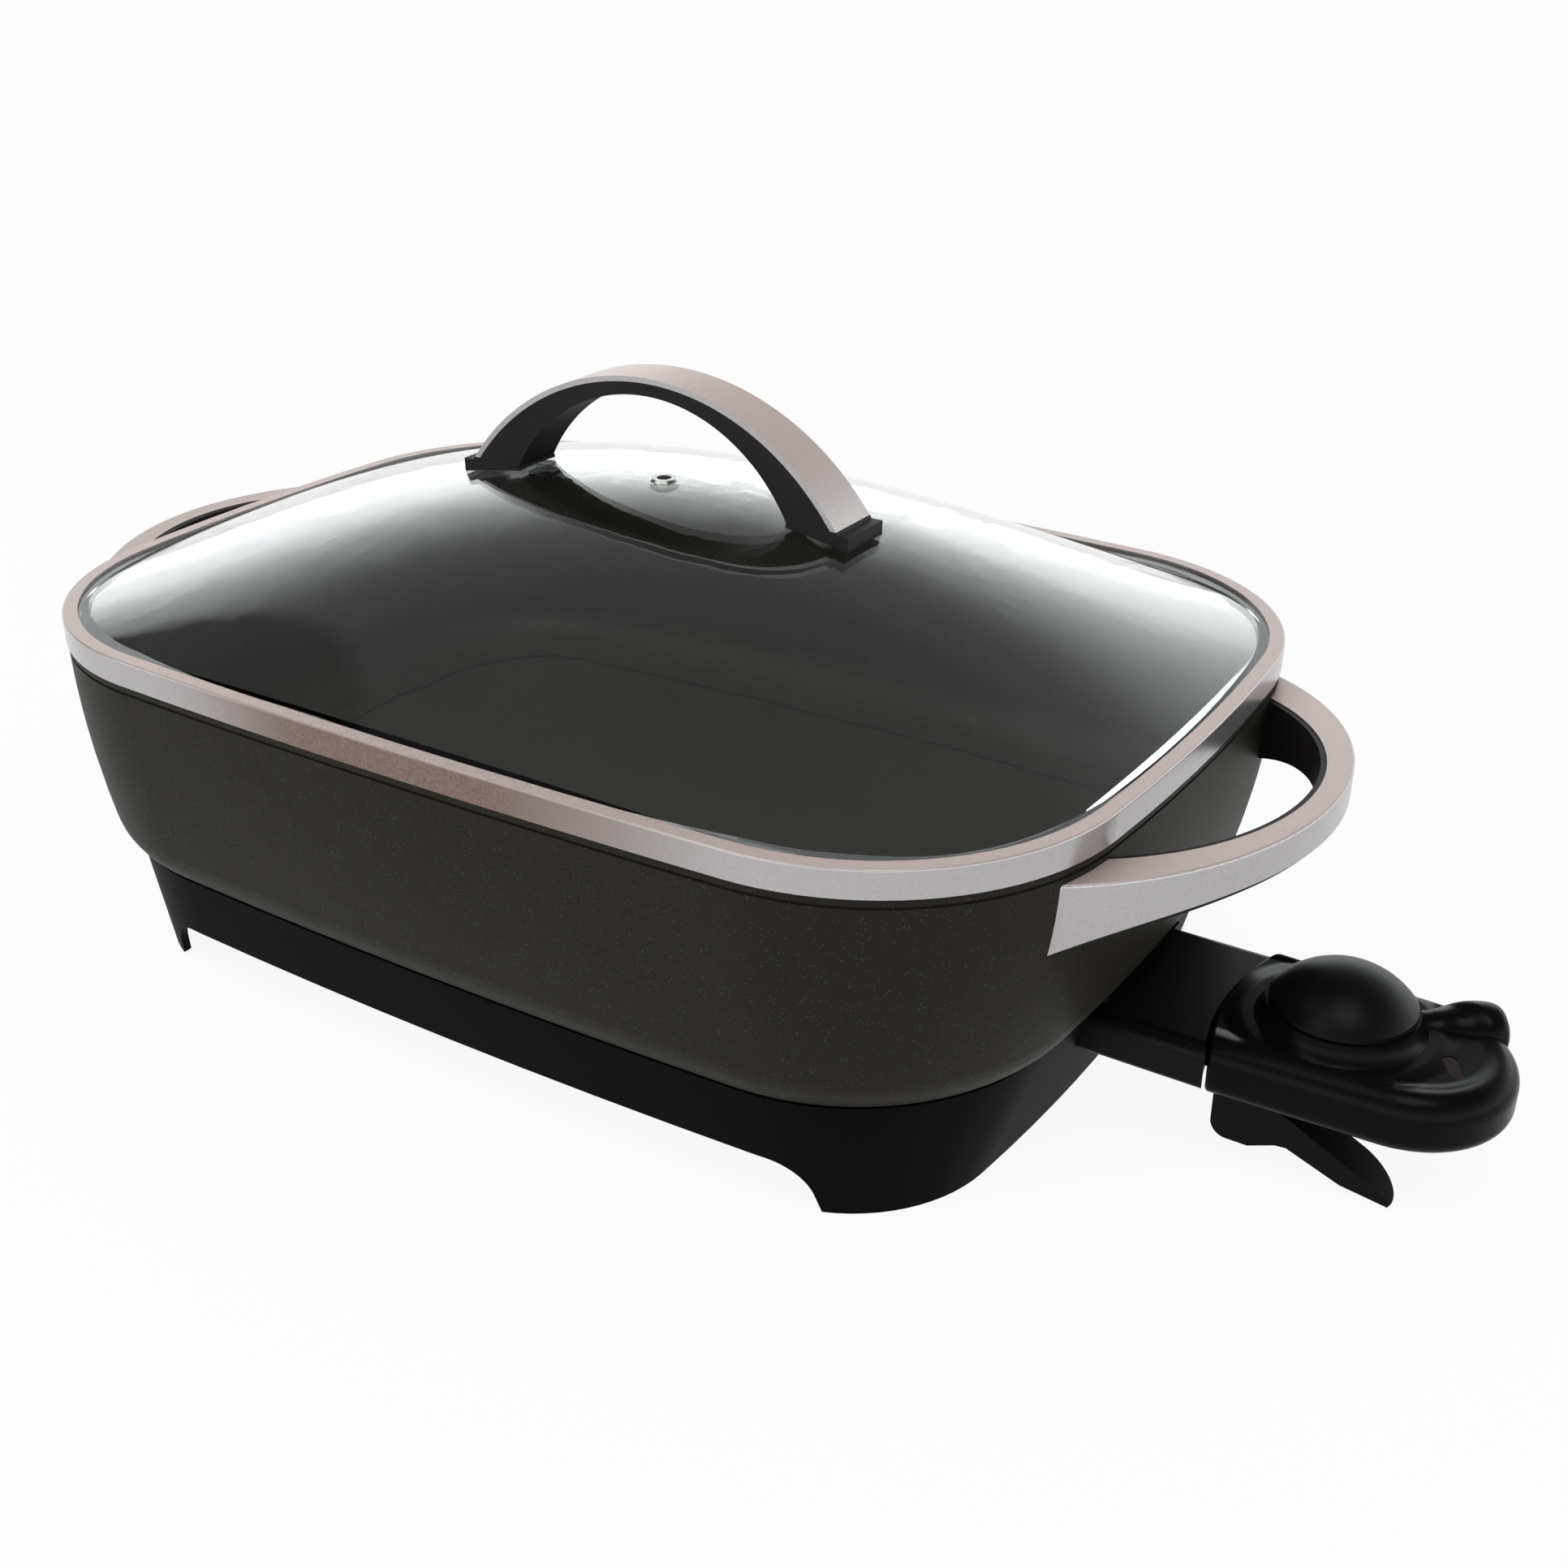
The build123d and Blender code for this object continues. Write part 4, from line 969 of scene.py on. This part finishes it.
@dataclass(frozen=True)
class Surroundings:
    """White walls round the object under a darker ceiling, and one round black flag.

    Ambient is the plain light on the object, inner is the least light that comes through the
    glass, and the flag's angles are in degrees.
    """

    ambient: float = 0.55
    inner: float = 0.36
    wall_glow: float = 2.2
    ceiling: tuple[tuple[float, Colour], ...] = (
        (0.0, grey(1.0)),
        (0.28, grey(1.0)),
        (0.36, grey(0.7)),
        (0.44, grey(0.48)),
        (0.5, grey(0.33)),
        (0.55, grey(0.2)),
        (0.62, grey(0.12)),
        (0.75, grey(0.06)),
        (1.0, grey(0.04)),
    )
    cool: Colour = (0.95, 0.99, 1.0, 1.0)
    flag_azimuth: float = 188.0
    flag_elevation: float = 25.0
    flag_inner: float = 22.0
    flag_outer: float = 24.0

    def build(self) -> None:
        """Make the world white where it is seen, soft as a light and graded in reflections."""
        world = bpy.data.worlds.new("surroundings")
        world.use_nodes = True
        bpy.context.scene.world = world
        graph = Graph(world.node_tree)
        shown = graph.seen_by(Ray.CAMERA)
        through = graph.seen_by(Ray.TRANSMISSION)
        mirrored = graph.seen_by(Ray.GLOSSY) * (1 - through)
        graded = self._graded(graph)
        passed = graded.most(self.inner)
        strength = (
            self.ambient
            + shown * (1 - self.ambient)
            + mirrored * (graded - self.ambient)
            + through * (passed - self.ambient)
        )
        colour = graph.blend(mirrored, grey(1.0), self.cool)
        glow = graph.node("ShaderNodeBackground", None, {"Color": colour, "Strength": strength})
        graph.node("ShaderNodeOutputWorld", None, {"Surface": glow.outputs[0]})
        log.info("surroundings light the object at %.2f", self.ambient)

    def _graded(self, graph: Graph) -> Value:
        """Grade what metal and glass show: bright walls, a dim ceiling and the flag.

        Args:
            graph: The world's graph.

        Returns:
            Strength of the light from a direction.
        """
        direction = graph.node("ShaderNodeTexCoord").outputs["Generated"]
        height = graph.axes(direction)[2]
        ramp = graph.node("ShaderNodeValToRGB", {"stops": self.ceiling}, {0: height})
        azimuth, elevation = math.radians(self.flag_azimuth), math.radians(self.flag_elevation)
        flag = (
            math.cos(azimuth) * math.cos(elevation),
            math.sin(azimuth) * math.cos(elevation),
            math.sin(elevation),
        )
        turned = {0: direction, 1: flag}
        near = graph.node("ShaderNodeVectorMath", {"operation": "DOT_PRODUCT"}, turned)
        edge = [math.cos(math.radians(angle)) for angle in (self.flag_outer, self.flag_inner)]
        covered = graph.smooth(graph.value(near, "Value"), *edge)
        return graph.value(ramp, "Color") * self.wall_glow * (1 - covered)


@dataclass(frozen=True)
class Studio:
    """Floor, surroundings and soft lamps."""

    lamps: tuple[SoftLamp, ...] = (
        SoftLamp("key", (-0.6, -0.9, 1.6), (1.2, 1.0), 9.0),
        SoftLamp("top", (0.5, -0.45, 1.8), (0.8, 0.8), 8.0),
    )

    def build(self) -> None:
        """Set up everything that isn't the object."""
        Floor().build()
        Surroundings().build()
        for lamp in self.lamps:
            lamp.build()
        bpy.context.scene.view_settings.view_transform = "Standard"


def main() -> None:
    """Set the camera, dress the skillet and light it."""
    logging.basicConfig(level=logging.INFO, format="%(message)s")
    Viewpoint().build()
    lid_side = (Lid(), LidHandle())
    control_side = (HeatControl(), Dial(), ReleaseLever())
    for assembly in (Pan(), Base(), SideHandles(), *lid_side, *control_side):
        assembly.dress()
    Studio().build()


if __name__ == "__main__":
    main()
